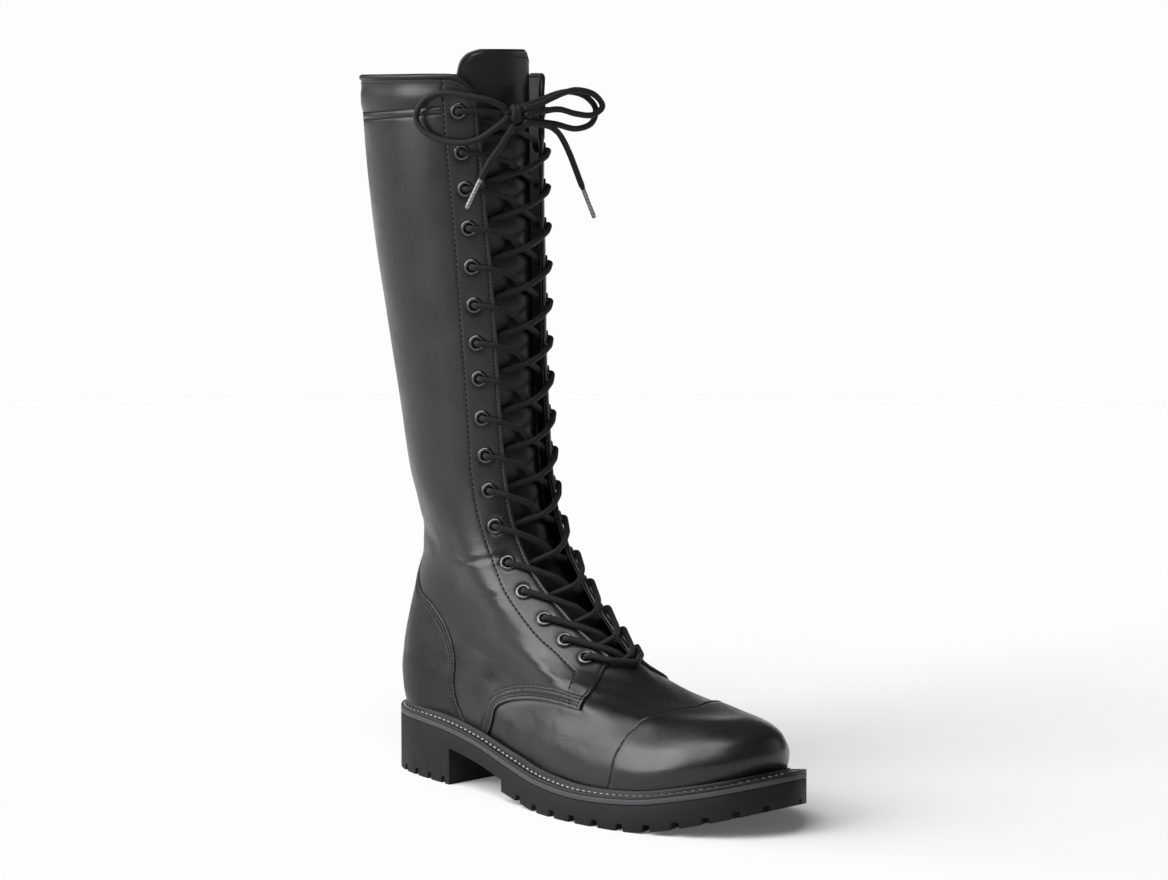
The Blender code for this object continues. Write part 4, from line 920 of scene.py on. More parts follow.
class Finish:
    """A procedural material on a Principled shader, with short calls for its nodes."""

    def __init__(self, name, colour, roughness, metallic=0.0, **sockets):
        self.material = bpy.data.materials.new(name)
        self.material.use_nodes = True
        self.tree = self.material.node_tree
        self.shader = self.tree.nodes["Principled BSDF"]
        self.set("Base Color", (*colour, 1))
        self.set("Roughness", roughness)
        self.set("Metallic", metallic)
        for key, value in sockets.items():
            self.set(key.replace("_", " "), value)
        self.material.diffuse_color = (*colour, 1)

    def set(self, socket, value):
        self.shader.inputs[socket].default_value = value

    def link(self, output, target):
        self.tree.links.new(output, target)

    def add(self, kind, settings=None, **inputs):
        """A node with its settings and its inputs, which are values or other nodes' outputs."""
        node = self.tree.nodes.new(kind)
        for key, value in (settings or {}).items():
            setattr(node, key, value)
        for key, value in inputs.items():
            socket = node.inputs[int(key[1:])] if key[1:].isdigit() else node.inputs[key.replace("_", " ")]
            if isinstance(value, bpy.types.NodeSocket):
                self.link(value, socket)
            else:
                socket.default_value = value
        return node

    def place(self, scale=(1, 1, 1)):
        coordinates = self.add("ShaderNodeTexCoord").outputs["Object"]
        return self.add("ShaderNodeMapping", Vector=coordinates, Scale=scale).outputs["Vector"]

    def noise(self, scale, detail=2.0, where=None, roughness=0.5):
        where = where or self.place()
        return self.add("ShaderNodeTexNoise", Vector=where, Scale=scale, Detail=detail,
                        Roughness=roughness).outputs["Fac"]

    def cells(self, scale):
        return self.add("ShaderNodeTexVoronoi", Vector=self.place(), Scale=scale).outputs["Distance"]

    def ripple(self, scale, axis="Z"):
        """Even waves along one axis."""
        parts = self.add("ShaderNodeSeparateXYZ", Vector=self.place((scale, scale, scale)))
        return self.math("SINE", parts.outputs[axis])

    def read(self, name):
        return self.add("ShaderNodeAttribute", {"attribute_name": name}).outputs["Fac"]

    def math(self, operation, first, second=0.0, third=0.0):
        return self.add("ShaderNodeMath", {"operation": operation}, _0=first, _1=second,
                        _2=third).outputs[0]

    def between(self, value, low, high, from_low=0.0, from_high=1.0):
        return self.add("ShaderNodeMapRange", _0=value, _1=from_low, _2=from_high, _3=low,
                        _4=high).outputs[0]

    def mix(self, share, first, second):
        node = self.tree.nodes.new("ShaderNodeMix")
        node.data_type = "RGBA"
        for socket, value in ((node.inputs[0], share), (node.inputs[6], first), (node.inputs[7], second)):
            if isinstance(value, bpy.types.NodeSocket):
                self.link(value, socket)
            elif socket is node.inputs[0]:
                socket.default_value = value
            else:
                socket.default_value = (*value, 1)
        return node.outputs[2]

    def colour(self, output):
        self.link(output, self.shader.inputs["Base Color"])

    def rough(self, output):
        self.link(output, self.shader.inputs["Roughness"])

    def bump(self, *layers):
        """Bumps laid on each other, each a height, a strength and a depth in metres."""
        normal = None
        for height, strength, depth in layers:
            inputs = {"Height": height, "Strength": strength, "Distance": depth}
            if normal:
                inputs["Normal"] = normal
            normal = self.add("ShaderNodeBump", **inputs).outputs["Normal"]
        self.link(normal, self.shader.inputs["Normal"])


def lighter(colour, times, plus=0.0):
    """A colour made lighter or darker."""
    return tuple(value * times + plus for value in colour)


def leather_finish(name, colour, roughness, coat=0.08, gleam=0.45):
    """Smooth black leather: fine pores, cloudy gloss, worn edges, and stitch lines that are duller and
    carry painted shade.
    """
    finish = Finish(name, colour, roughness, Coat_Weight=coat, Coat_Roughness=0.22,
                    Specular_IOR_Level=gleam)
    cloud = finish.noise(38, 3)
    fine = finish.noise(260, 3)
    # seam is the stitch rows' grooves, from 0 to 1: the colour goes darker there as painted shade, and the
    # gloss goes duller.
    seam = finish.read("seam")
    wear = finish.read("wear")
    tone = finish.mix(cloud, lighter(colour, 0.75), lighter(colour, 1.35))
    # Painted shade: the colour darkens in the stitch grooves.
    tone = finish.mix(finish.math("MULTIPLY", seam, 0.7), tone, lighter(colour, 0.25))
    worn = finish.math("MULTIPLY", wear, finish.between(fine, 0.0, 1.0, 0.35, 0.75))
    finish.colour(finish.mix(worn, tone, lighter(colour, 2.4, 0.02)))
    gloss = finish.between(cloud, roughness - 0.07, roughness + 0.09, 0.3, 0.7)
    gloss = finish.math("ADD", gloss, finish.math("MULTIPLY", finish.math("SUBTRACT", fine, 0.5), 0.16))
    finish.rough(finish.math("ADD", gloss, finish.math("MULTIPLY", seam, 0.35)))
    stretched = finish.noise(1.0, 4, finish.place((90, 90, 700)), 0.6)
    wrinkle = finish.math("MULTIPLY", stretched, finish.read("wrinkle"))
    finish.bump(
        (wrinkle, 0.40, 0.0005),
        (finish.noise(170, 3), 0.20, 0.0003),
        (finish.cells(1150), 0.16, 0.00014),
    )
    return finish.material


def edge_finish(name, colour):
    """Cut and dyed edge of the leather."""
    finish = Finish(name, colour, 0.62)
    finish.colour(finish.mix(finish.noise(420, 4), lighter(colour, 0.6), lighter(colour, 1.8)))
    finish.bump((finish.noise(900, 3), 0.5, 0.0003))
    return finish.material


def lining_finish(name, colour):
    """Dull fabric and leather lining."""
    finish = Finish(name, colour, 0.9, Specular_IOR_Level=0.08)
    finish.colour(finish.mix(finish.noise(30, 3), lighter(colour, 0.8), lighter(colour, 1.25)))
    weave = finish.math("MULTIPLY", finish.ripple(2600), finish.ripple(2600, "X"))
    finish.bump((finish.noise(300, 3), 0.3, 0.0004), (weave, 0.25, 0.0002))
    return finish.material


def rubber_finish(name, colour, roughness, speckle=1.25):
    """Moulded rubber: matt, finely pebbled, with faint rubbed and dusty patches."""
    finish = Finish(name, colour, roughness, Specular_IOR_Level=0.2)
    cloud = finish.noise(55, 4)
    fine = finish.noise(900, 3)
    tone = finish.mix(cloud, lighter(colour, 0.85), lighter(colour, speckle))
    dust = finish.between(fine, 0.0, 0.25, 0.5, 0.8)
    finish.colour(finish.mix(dust, tone, lighter(colour, 1.6, 0.004)))
    finish.rough(finish.between(cloud, roughness - 0.08, roughness + 0.08, 0.3, 0.7))
    finish.bump((finish.noise(120, 3), 0.2, 0.0003), (fine, 0.25, 0.00015))
    return finish.material


def thread_finish(name, colour):
    """Twisted sewing thread."""
    finish = Finish(name, colour, 0.7, Sheen_Weight=0.03, Specular_IOR_Level=0.25)
    finish.colour(finish.mix(finish.noise(700, 2), lighter(colour, 0.7), lighter(colour, 1.3)))
    finish.bump((finish.ripple(9000), 0.35, 0.0001))
    return finish.material


def braid_finish(name, colour, radius):
    """Round braid: fine crossing strands that wind both ways round the lace."""
    finish = Finish(name, colour, 0.7, Sheen_Weight=0.04, Specular_IOR_Level=0.3)
    parts = finish.add("ShaderNodeSeparateXYZ", Vector=finish.add("ShaderNodeUVMap").outputs["UV"])
    along = finish.math("MULTIPLY", parts.outputs["X"], 2 * pi / BRAID_PITCH)
    around = finish.math("MULTIPLY", parts.outputs["Y"], 6 / radius)
    one = finish.math("SINE", finish.math("ADD", along, around))
    other = finish.math("SINE", finish.math("SUBTRACT", along, around))
    weave = finish.math("MAXIMUM", one, other)
    strands = finish.between(weave, 0, 1, -0.4, 1)
    finish.colour(finish.mix(strands, lighter(colour, 0.6), lighter(colour, 1.3)))
    finish.bump((weave, 0.45, 0.00013), (finish.noise(1500, 2), 0.25, 0.0001))
    return finish.material


def metal_finish(name, colour, roughness):
    """Polished metal with fine marks."""
    finish = Finish(name, colour, roughness, 1.0)
    mark = finish.noise(500, 4, finish.place((1, 1, 6)))
    finish.colour(finish.mix(finish.noise(150, 2), lighter(colour, 0.85), lighter(colour, 1.12)))
    finish.rough(finish.between(mark, roughness - 0.05, roughness + 0.12, 0.3, 0.75))
    finish.bump((mark, 0.12, 0.00005))
    return finish.material


def tape_finish(name, colour):
    """Woven zip tape, its ribs read from the tape's own width and length."""
    finish = Finish(name, colour, 0.8, Sheen_Weight=0.2)
    weave = finish.math("MULTIPLY", *[
        finish.math("SINE", finish.math("MULTIPLY", finish.read(name), 2 * pi / pitch))
        for name, pitch in (("across", TAPE_RIB), ("rise", TAPE_PICK))
    ])
    threads = finish.between(weave, 0, 1, -1, 1)
    finish.colour(finish.mix(threads, lighter(colour, 0.6), lighter(colour, 1.6)))
    finish.bump((weave, 0.5, 0.00015), (finish.noise(900, 2), 0.2, 0.0001))
    return finish.material


def sleeve_finish(name, colour):
    """Clear hard sleeve shrunk over the lace's end."""
    finish = Finish(name, colour, 0.22, Coat_Weight=0.6, Coat_Roughness=0.08, IOR=1.49)
    weave = finish.between(finish.ripple(3000), 0.1, 0.9, -1, 1)
    finish.colour(finish.mix(weave, lighter(colour, 0.55), lighter(colour, 1.25)))
    finish.bump((finish.noise(400, 2), 0.2, 0.0002))
    return finish.material


def floor_finish(name, colour, glow):
    """Plain pale floor, lit a little from below as a light table is."""
    finish = Finish(name, colour, 0.9, Specular_IOR_Level=0.0, Emission_Color=(1, 1, 1, 1),
                    Emission_Strength=glow)
    finish.colour(finish.mix(finish.noise(3, 2), lighter(colour, 0.995), colour))
    return finish.material


FINISHES = {}


def finishes():
    """The boot's materials, made once from its colours."""
    if FINISHES:
        return FINISHES
    own = bpy.context.scene.boot_colours
    sizes = bpy.context.scene.boot_sizes
    FINISHES.update(
        leather=leather_finish("black_smooth_leather", own.leather, own.leather_roughness),
        # A darker, duller copy of the leather: painted shade on the deep-set tongue, and it makes the
        # piping and the heel counter darker too.
        tongue=leather_finish("tongue_soft_leather", own.tongue, own.leather_roughness + 0.03,
                              coat=0.03, gleam=0.3),
        edge=edge_finish("dyed_cut_edge", own.edge),
        lining=lining_finish("black_lining", own.lining),
        board=lining_finish("insole_cloth", lighter(own.lining, 1.3)),
        rubber=rubber_finish("matt_black_rubber", own.rubber, 0.62),
        strip=rubber_finish("grey_rubber_strip", own.strip, 0.5, 1.1),
        welt=rubber_finish("black_welt_rubber", own.welt, 0.42),
        thread=thread_finish("black_thread", own.thread),
        welt_thread=thread_finish("white_welt_thread", own.welt_thread),
        lace=braid_finish("black_round_braid", own.lace, sizes.lace / 2),
        gunmetal=metal_finish("dark_gunmetal", own.gunmetal, 0.2),
        steel=metal_finish("polished_zip_steel", own.steel, 0.18),
        tape=tape_finish("woven_zip_tape", own.tape),
        sleeve=sleeve_finish("clear_lace_tip", own.tip),
    )
    return FINISHES


# ---------------------------------------------------------------- leather panels
SEAMS = {}


def seam(name, side):
    """One of the boot's seam lines, on one side."""
    if (name, side) not in SEAMS:
        legs, inside, from_back = {
            "low": ([((3.74, 82), (3.66, 95), *QUARTER_LOW)], (9, 120), False),
            "front": ([((19.03, 180), *QUARTER_FRONT, (2.7, 127))], (9, 120), False),
            "stay": (STAY, (9, 120), False),
            "collar": ([((COLLAR_LOW[0][0], -12), *COLLAR_LOW)], (18.9, 60), True),
            "counter": ([COUNTER_SEAM], (4, 20), True),
            "toe": ([TOE_SEAM], (3, 20), False),
            "throat": ([((19.03, 180), *QUARTER_FRONT[:18], (8.05, 7.0), (7.9, 3.0), (7.85, -1.5))],
                       (9, 120), False),
        }[name]
        SEAMS[(name, side)] = Seam(legs, side, inside, from_back)
    return SEAMS[(name, side)]


def side_masks(turn):
    """Both sides of the boot, each with the mask of the places on it."""
    lateral = (turn + pi) % (2 * pi) - pi < 0
    return ((LATERAL, lateral), (MEDIAL, ~lateral))


def add_seam(sheet, name):
    """The distance from a seam that runs on both sides."""
    points = sheet.points()
    values = np.empty(len(points))
    for side, mask in side_masks(sheet.fields["turn"]):
        values[mask] = seam(name, side).distance(points[mask])
    sheet.fields[name] = values


def zip_line():
    """Line of the closed zip, from its lower end to past the collar."""
    if "zip" not in SEAMS:
        levels = np.linspace(ZIP_LOW + 0.45, TOP + 0.4, 300)
        line = Seam.__new__(Seam)
        line.set(levels, zip_turns(levels))
        SEAMS["zip"] = line
    return SEAMS["zip"]


def add_zip(sheet):
    """The distance from the zip's opening."""
    sheet.fields["zip"] = np.abs(zip_line().distance(sheet.points())) - ZIP_HALF


def eyelet_places():
    """Every eyelet's side, row, and level and turn, one by one."""
    levels, arcs = np.array(EYELET_ROWS).T
    return [
        (side, row + 1, levels[row], float(girth.turn(levels[row:row + 1], side * arcs[row:row + 1])[0]))
        for side in (LATERAL, MEDIAL)
        for row in range(len(EYELET_ROWS))
    ]


def add_eyelets(sheet):
    """Distance from the nearest eyelet's middle."""
    points = sheet.points()
    nearest = np.full(len(points), 1.0)
    for _, _, level, turn in eyelet_places():
        nearest = np.minimum(nearest, np.linalg.norm(points - boot_face(level, turn), axis=1))
    sheet.fields["hole"] = nearest


EYELET_HOLE = 0.0034
EDGE = 0.0006                # radius of a panel's outer edge
LEATHER = 0.0008             # thickness of the quarters
LAP = 0.00065                # how much thicker they are where nothing lies under them
GROOVE = 0.00040             # depth of the channel that a stitch row draws
PADDING = 0.0007             # how far the collar and the facing swell
VAMP_DEPTH = 0.0011          # the vamp's outer face under the quarters' face
VAMP = 0.0006                # thickness of the vamp
TOE_CAP = 0.00115
LINING_OUTER = 0.00155       # the lining's faces under the quarters' face
LINING_INNER = 0.0022


def wrinkle_zones(points):
    """Where the leather's fine flexing wrinkles show, from 0 to 1."""
    zones = ((LATERAL, 10.1, 88, 26, 1.0), (LATERAL, 9.0, 78, 17, 0.8), (LATERAL, 5.0, 140, 24, 0.6),
             (LATERAL, 1.9, 150, 22, 0.35), (MEDIAL, 10.1, 84, 26, 1.0), (MEDIAL, 9.0, 80, 18, 0.8),
             (MEDIAL, 2.0, 150, 22, 0.35))
    total = np.zeros(len(points))
    for side, level, arc, reach, strength in zones:
        middle = boot_face(*place(side, level, arc))[0]
        total += strength * np.exp(-((points - middle) ** 2).sum(1) / (reach * MM) ** 2)
    return np.clip(total, 0, 1)


def leather_panel(sheet, name, outer, inner, seam=0, wear=0, wrinkle=0, finish="leather", nodes=()):
    """A closed panel, with the numbers that its leather reads at every point."""
    # seam carries the stitch grooves, where the leather paints shade; wear carries the rubbed edges.
    plain = np.zeros(len(outer))
    values = {"seam": plain + seam, "wear": plain + wear, "wrinkle": plain + wrinkle}
    own = finishes()
    made = sheet.solid(name, outer, inner, (own[finish], own["edge"]), values)
    settle(made, "boot", "black_leather", *nodes)


def make_quarters():
    """Quarters and shaft in one panel, open at the throat and for the zip."""
    sheet = Sheet(level_rows(-1, 19.05, 0.0023, fine=(7.6, 12.0, 0.0014)), turn_columns(10, -pi, pi, 206))
    for name in ("low", "front"):
        add_seam(sheet, name)
        sheet.cut(name, keep=1)
    for name in ("stay", "collar"):
        add_seam(sheet, name)
    add_zip(sheet)
    add_eyelets(sheet)
    sheet.cut("zip", keep=1)
    sheet.cut("hole", EYELET_HOLE, keep=1)
    sheet.cuts("hole", 0.0047, 0.0058)
    sheet.cuts("low", 0.0002, 0.0006, 0.0016, 0.0024, 0.0032, 0.0041, 0.0054, 0.0067, 0.0077, 0.0086,
               0.0095)
    sheet.cuts("front", 0.0002, 0.0006, 0.0013, 0.0019, 0.0026, 0.0033)
    sheet.cuts("stay", -0.0009, 0, 0.0009)
    sheet.cuts("collar", -0.0008, 0, 0.0010, 0.0021, 0.0032, 0.0042, 0.0050)
    sheet.cuts("zip", 0.0002, 0.0006, 0.0015, 0.0023, 0.0031)
    sheet.tidy()
    own = sheet.fields
    edge = np.minimum(own["front"], own["low"])
    behind_stay = ease(own["stay"] / 0.0012)
    lower_band = ease((own["front"] - 0.0012) / 0.0012)
    below_rim = ease((18.9 - own["level"]) / 0.08)
    lines = (
        sum(groove(own["low"], row) for row in LOW_ROWS) * lower_band
        + groove(own["front"], front_row(own["level"]))
        + groove(own["zip"], ZIP_ROW)
        + sum(groove(own["collar"], row) for row in COLLAR_ROWS) * behind_stay
    )
    stay = groove(own["stay"], 0) * ease(own["low"] / 0.0015)
    height = relief(own["level"], own["turn"])
    outer = height - GROOVE * lines - GROOVE * stay
    outer -= rounded(edge, EDGE) + rounded(own["zip"], EDGE)
    outer += bead(own["front"], 0.0012, 0.0009, 0.0004) * below_rim
    outer += bead(own["collar"], 0.0021, 0.0011, 0.00012) * behind_stay
    padding = ease((own["collar"] - 0.0045) / 0.005) * ease((own["front"] - 0.0065) / 0.005)
    outer += PADDING * padding * behind_stay
    outer += bead(own["low"], 0.0054, 0.0010, 0.0003) * lower_band
    outer += bead(own["low"], 0.0076, 0.0008, 0.0003) * lower_band
    outer -= bead(own["hole"], 0.0047, 0.0010, 0.00045)
    lap = ease((edge - 0.015) / 0.003)
    inner = height - LEATHER - LAP * lap
    wear = np.exp(-(edge / 0.0012) ** 2) * 0.8 + np.exp(-(np.maximum(own["zip"], 0) / 0.001) ** 2) * 0.5
    # The stitch grooves go to the leather as its seam value, where it paints shade.
    leather_panel(sheet, "quarters", outer, inner, np.clip(lines + stay, 0, 1), wear,
                  wrinkle_zones(sheet.points()), nodes=("upper",))


def make_vamp():
    """The vamp, which runs on under the quarters and the toe cap."""
    sheet = Sheet(level_rows(-1, 8.3, 0.0012), turn_columns(1.5, pi - 2.05, pi + 2.05, 300))
    for name in ("low", "front", "toe"):
        add_seam(sheet, name)
    sheet.fields["under"] = np.minimum(sheet.fields["low"], sheet.fields["front"])
    sheet.cut("under", 0.013, keep=-1)
    sheet.cut("level", 8.12, keep=-1)
    sheet.cut("toe", 0.008, keep=-1)
    sheet.tidy()
    own = sheet.fields
    height = relief(own["level"], own["turn"])
    outer = height - VAMP_DEPTH - 0.0003 * np.exp(-(own["under"] / 0.0014) ** 2)
    leather_panel(sheet, "vamp", outer, outer - VAMP, wrinkle=wrinkle_zones(sheet.points()))


def make_toe_cap():
    """The toe cap, a layer over the vamp with one row of stitches along its edge."""
    sheet = Sheet(level_rows(-1, 6.2, 0.0016), turn_columns(2.5, pi - 1.25, pi + 1.25, 150))
    add_seam(sheet, "toe")
    sheet.cut("toe", keep=1)
    sheet.cuts("toe", 0.0002, 0.0006, 0.0013, 0.0021, 0.0029)
    sheet.tidy()
    own = sheet.fields
    height = relief(own["level"], own["turn"])
    line = groove(own["toe"], TOE_ROW)
    outer = height - 0.00005 - rounded(own["toe"], EDGE) - 0.0005 * line
    outer += bead(own["toe"], 0.0011, 0.0007, 0.00022)
    wear = np.exp(-(own["toe"] / 0.001) ** 2) * 0.4
    # The stitch groove goes to the leather as its seam value, where it paints shade.
    leather_panel(sheet, "toe_cap", outer, height - TOE_CAP, line, wear)


def make_counter():
    """The heel counter, a layer over the quarters round the back of the heel."""
    sheet = Sheet(level_rows(-1, 9.1, 0.0017), turn_columns(2, -1.35, 1.35, 150))
    sheet.fields["counter"] = seam("counter", MEDIAL).distance(sheet.points())
    sheet.cut("counter", keep=1)
    sheet.cuts("counter", 0.0002, 0.0007, 0.0013, 0.0020, 0.0027, 0.0034, 0.0040, 0.0047)
    sheet.tidy()
    own = sheet.fields
    height = relief(own["level"], own["turn"])
    # These grooves also go to the leather as its seam value, where it paints shade.
    lines = sum(groove(own["counter"], row) for row in COUNTER_ROWS)
    outer = height + 0.0010 - rounded(own["counter"], 0.0007) - 0.00026 * lines
    outer += bead(own["counter"], 0.0030, 0.0006, 0.00025)
    wear = np.exp(-(own["counter"] / 0.0012) ** 2)
    # The counter takes the tongue's darker, duller leather, which paints shade on the heel.
    leather_panel(sheet, "heel_counter", outer, height + 0.00005, np.clip(lines, 0, 1), wear,
                  finish="tongue")


def make_lining():
    """The lining all round the inside, closed at the front below the throat."""
    sheet = Sheet(level_rows(-1, 19.05, 0.0036), turn_columns(9, -pi, pi, 130))
    add_seam(sheet, "throat")
    add_zip(sheet)
    add_eyelets(sheet)
    sheet.cut("throat", 0.0003, keep=1)
    sheet.cut("zip", keep=1)
    sheet.cut("hole", EYELET_HOLE, keep=1)
    sheet.tidy()
    height = relief(sheet.fields["level"], sheet.fields["turn"])
    finish = finishes()
    made = sheet.solid("lining", height - LINING_OUTER, height - LINING_INNER,
                       (finish["lining"], finish["edge"]))
    settle(made, "boot", "black_leather")


def make_piping():
    """The rolled binding along the collar's rim and round its front corners, open at the zip."""
    radius = bpy.context.scene.boot_sizes.piping
    runs = []
    for side in (LATERAL, MEDIAL):
        line = seam("front", side)
        level, turn = line.shifted(0.0011)
        arcs = girth.arc(line.level, line.turn)
        keep = (line.level > 18.3) & (np.sign(arcs) == side)
        runs.append(raised(level[keep], turn[keep], -0.0007)[0])
    lateral, medial = runs
    clear = np.abs(zip_line().distance(medial)) > ZIP_HALF + 0.0008
    first = int(np.argmin(clear))
    last = len(clear) - int(np.argmin(clear[::-1]))
    pieces = (np.vstack([lateral[::-1], medial[1:first]]), medial[last:])
    for name, points in zip(("collar_piping", "collar_piping_front"), pieces):
        # The piping takes the tongue's darker leather, which paints it darker as shade.
        made = tube(name, evenly(points, 0.0022), radius, 12, finishes()["tongue"])
        settle(made, "boot", "black_leather")


def raised(level, turn, height):
    """Points over the face with the leather's own lie, and their outward directions."""
    normal = face_normal(level, turn)
    return boot_face(level, turn) + normal * (relief(level, turn) + height)[:, None], normal


def own_side(line, side):
    """Which of a line's points lie on their own side of the boot."""
    return np.sign(girth.arc(line.level, line.turn)) == side


def off_zip(points):
    """Which points are clear of the zip's opening."""
    return np.abs(zip_line().distance(points)) > ZIP_HALF + 0.002


def zip_border(distance):
    """Levels and turns of a line round the zip's opening, from its top down, round its end and up."""
    line = zip_line()
    swing = np.linspace(0, pi, 24)[1:-1, None]
    goal = (np.cos(swing) * line.aside[0] - np.sin(swing) * line.ahead[0]) * distance
    start = np.full(len(goal), line.level[0]), np.full(len(goal), line.turn[0])
    parts = [line.shifted(distance), walk(*start, goal), line.shifted(-distance)]
    parts[0] = [values[::-1] for values in parts[0]]
    return [np.concatenate(values) for values in zip(*parts)]


def make_stitches():
    """Every row of black stitches on the leather."""
    sizes = bpy.context.scene.boot_sizes
    rows = Stitches()

    def lay(places, height, pitch, keep, thick=1.0):
        """One row along some places, at a height; keep tells which of its points carry stitches."""
        points, normal = raised(*places, height)
        rows.along(points, normal, pitch, pitch * 0.72, sizes.thread * thick, keep(points))

    for side in (LATERAL, MEDIAL):
        low, front, stay, collar = (seam(name, side) for name in ("low", "front", "stay", "collar"))
        for row in LOW_ROWS:
            lay(low.shifted(row), -0.00024, 0.0021, lambda points: front.distance(points) > 0.0030)
        lay(front.shifted(front_row(front.level)), -0.0001, 0.0023, lambda points: (
            (low.distance(points) > 0.0012) & off_zip(points) & own_side(front, side)))
        lay(stay.shifted(0), -0.00016, sizes.pitch, lambda points: (
            (low.distance(points) > 0.0100) & (front.distance(points) > 0.0032)), 1.4)
        for row in COLLAR_ROWS:
            lay(collar.shifted(row), -0.00004, 0.0021, lambda points: (
                (stay.distance(points) > 0.0012) & off_zip(points) & own_side(collar, side)))
    counter, toe = seam("counter", MEDIAL), seam("toe", MEDIAL)
    for row in COUNTER_ROWS:
        lay(counter.shifted(row), 0.00090, 0.0023, lambda _: counter.level > 0)
    lay(toe.shifted(TOE_ROW), -0.00034, 0.0022, lambda _: toe.level > 0)
    border = zip_border(ZIP_HALF + ZIP_ROW)
    lay(border, -0.00012, 0.0024, lambda _: border[0] < 18.85)
    made = rows.make("leather_stitches", finishes()["thread"])
    settle(made, "boot", "black_leather")


# ---------------------------------------------------------------- tongue
TONGUE_THICK = 0.0022


def off_face(level, arc, height):
    """Points over the face, from their distances from the front line."""
    level, arc, height = np.broadcast_arrays(*[np.asarray(value, float) for value in (level, arc, height)])
    shape = level.shape
    level, arc = level.ravel(), arc.ravel()
    turn = girth.turn(level, arc)
    points = boot_face(level, turn) + face_normal(level, turn) * height.ravel()[:, None]
    return points.reshape(*shape, 3)


def slab(name, outer, inner, *finishes):
    """A closed solid between two grids of points, outer rows running up and columns by turn."""
    rows, columns = outer.shape[:2]
    count = rows * columns
    faces = grid_faces(rows, columns)
    back = (faces + count)[:, ::-1]
    rim = [row * columns for row in range(rows)]
    rim += [(rows - 1) * columns + column for column in range(1, columns)]
    rim += [row * columns + columns - 1 for row in range(rows - 2, -1, -1)]
    rim += list(range(columns - 2, 0, -1))
    walls = [[b, a, a + count, b + count] for a, b in zip(rim, rim[1:] + rim[:1])]
    points = np.vstack([outer.reshape(-1, 3), inner.reshape(-1, 3)])
    made = mesh_object(name, points, faces.tolist() + back.tolist() + walls, *finishes)
    kinds = np.zeros(2 * len(faces) + len(walls), np.int32)
    kinds[2 * len(faces):] = len(finishes) - 1
    made.data.polygons.foreach_set("material_index", kinds)
    return smooth(made, 50)


def tongue_heights(level, share):
    """Height of the tongue's outer face, softly swollen between the lace's crossings."""
    rows = np.array(EYELET_ROWS)[::-1, 0]
    place = np.interp(level, rows, np.arange(len(rows)))
    inside = ease((level - rows[0]) / 0.3) * ease((rows[-1] - level) / 0.3 + 1)
    swell = 0.0005 * np.cos(2 * pi * place) * inside * (1 - share**2)
    droop = 0.0010 * ease((abs(share) - 0.80) / 0.2)
    return -tongue_sink(level) + swell - droop


def make_tongue():
    """The tongue, its rolled rim and its row of stitches."""
    low, high = TONGUE_WIDTH[0][0], TONGUE_WIDTH[-1][0]
    levels = np.concatenate([np.linspace(low, high - 0.4, 200), np.linspace(high - 0.4, high, 30)[1:]])
    shares = np.linspace(1, -1, 61)
    shares = np.sign(shares) * (1 - (1 - abs(shares)) ** 1.4)
    level, share = np.meshgrid(levels, shares, indexing="ij")
    arc = tongue_half(level) * share
    height = tongue_heights(level, share)
    finish = finishes()
    made = slab("tongue", off_face(level, arc, height), off_face(level, arc, height - TONGUE_THICK),
                finish["tongue"], finish["edge"])
    for name in ("seam", "wear", "wrinkle"):
        add_values(made, name, np.zeros(len(made.data.vertices)))
    settle(made, "boot", "tongue_leather", "tongue")

    edge = np.column_stack([levels, tongue_half(levels)])
    across = np.linspace(1, -1, 24)[1:-1]
    rim = np.vstack([edge, np.column_stack([np.full(22, high), tongue_half(high) * across]),
                     edge[::-1] * (1, -1)])
    shown = rim[:, 0] > 8.4
    rim = rim[shown]
    side = np.clip(rim[:, 1] / np.maximum(tongue_half(rim[:, 0]), 1e-6), -1, 1)
    level_height = tongue_heights(rim[:, 0], side)
    points = off_face(rim[:, 0], rim[:, 1], level_height - TONGUE_THICK / 2)
    made = tube("tongue_rim", evenly(points, 0.0018), 0.00135, 10, finish["tongue"])
    settle(made, "boot", "tongue_leather")

    rise = lengths_along(boot_face(levels, np.full_like(levels, pi)))
    flat = evenly(np.column_stack([np.interp(rim[:, 0], levels, rise), rim[:, 1]]), 0.0008)
    ahead = unit(np.gradient(flat, axis=0))
    inner = flat + np.column_stack([-ahead[:, 1], ahead[:, 0]]) * TONGUE_ROW * -np.sign(flat[0, 1])
    apart = np.linalg.norm(inner[:, None] - flat[None], axis=2).min(1)
    inner = inner[apart > TONGUE_ROW * 0.96]
    inner = np.column_stack([np.interp(inner[:, 0], rise, levels), inner[:, 1]])
    inner_share = inner[:, 1] / tongue_half(inner[:, 0])
    points = off_face(inner[:, 0], inner[:, 1], tongue_heights(inner[:, 0], inner_share) + 0.00005)
    normal = face_normal(inner[:, 0], girth.turn(inner[:, 0], inner[:, 1]))
    rows = Stitches()
    rows.along(points, normal, 0.0024, 0.0016, bpy.context.scene.boot_sizes.thread)
    settle(rows.make("tongue_stitches", finish["thread"]), "boot", "tongue_leather")


# ---------------------------------------------------------------- eyelets and lace
EYELETS = len(EYELET_ROWS)
LACE_OVER = 0.0027           # the lace's middle over the leather at an eyelet
LACE_UNDER = 0.0048          # and under it
LACE_CROSS = 0.00188         # half the distance between two strands that cross
LACE_EASE = 0.0002
LACE_TOP_CROSS = 0.0034
LACE_TOP_SHIFT = 0.12
KNOT = np.array((0.0715, -0.0195, 0.3950))
BOW_ALONG = unit(np.array((0.33, 0.944, 0)))
BOW_OFF = unit(np.array((0.944, -0.33, 0)))
UP = np.array((0.0, 0.0, 1.0))


def at_knot(off, along, up):
    """Point given from the knot's middle: off the boot, along the bow, and up."""
    return tuple(KNOT + BOW_OFF * off + BOW_ALONG * along + UP * up)


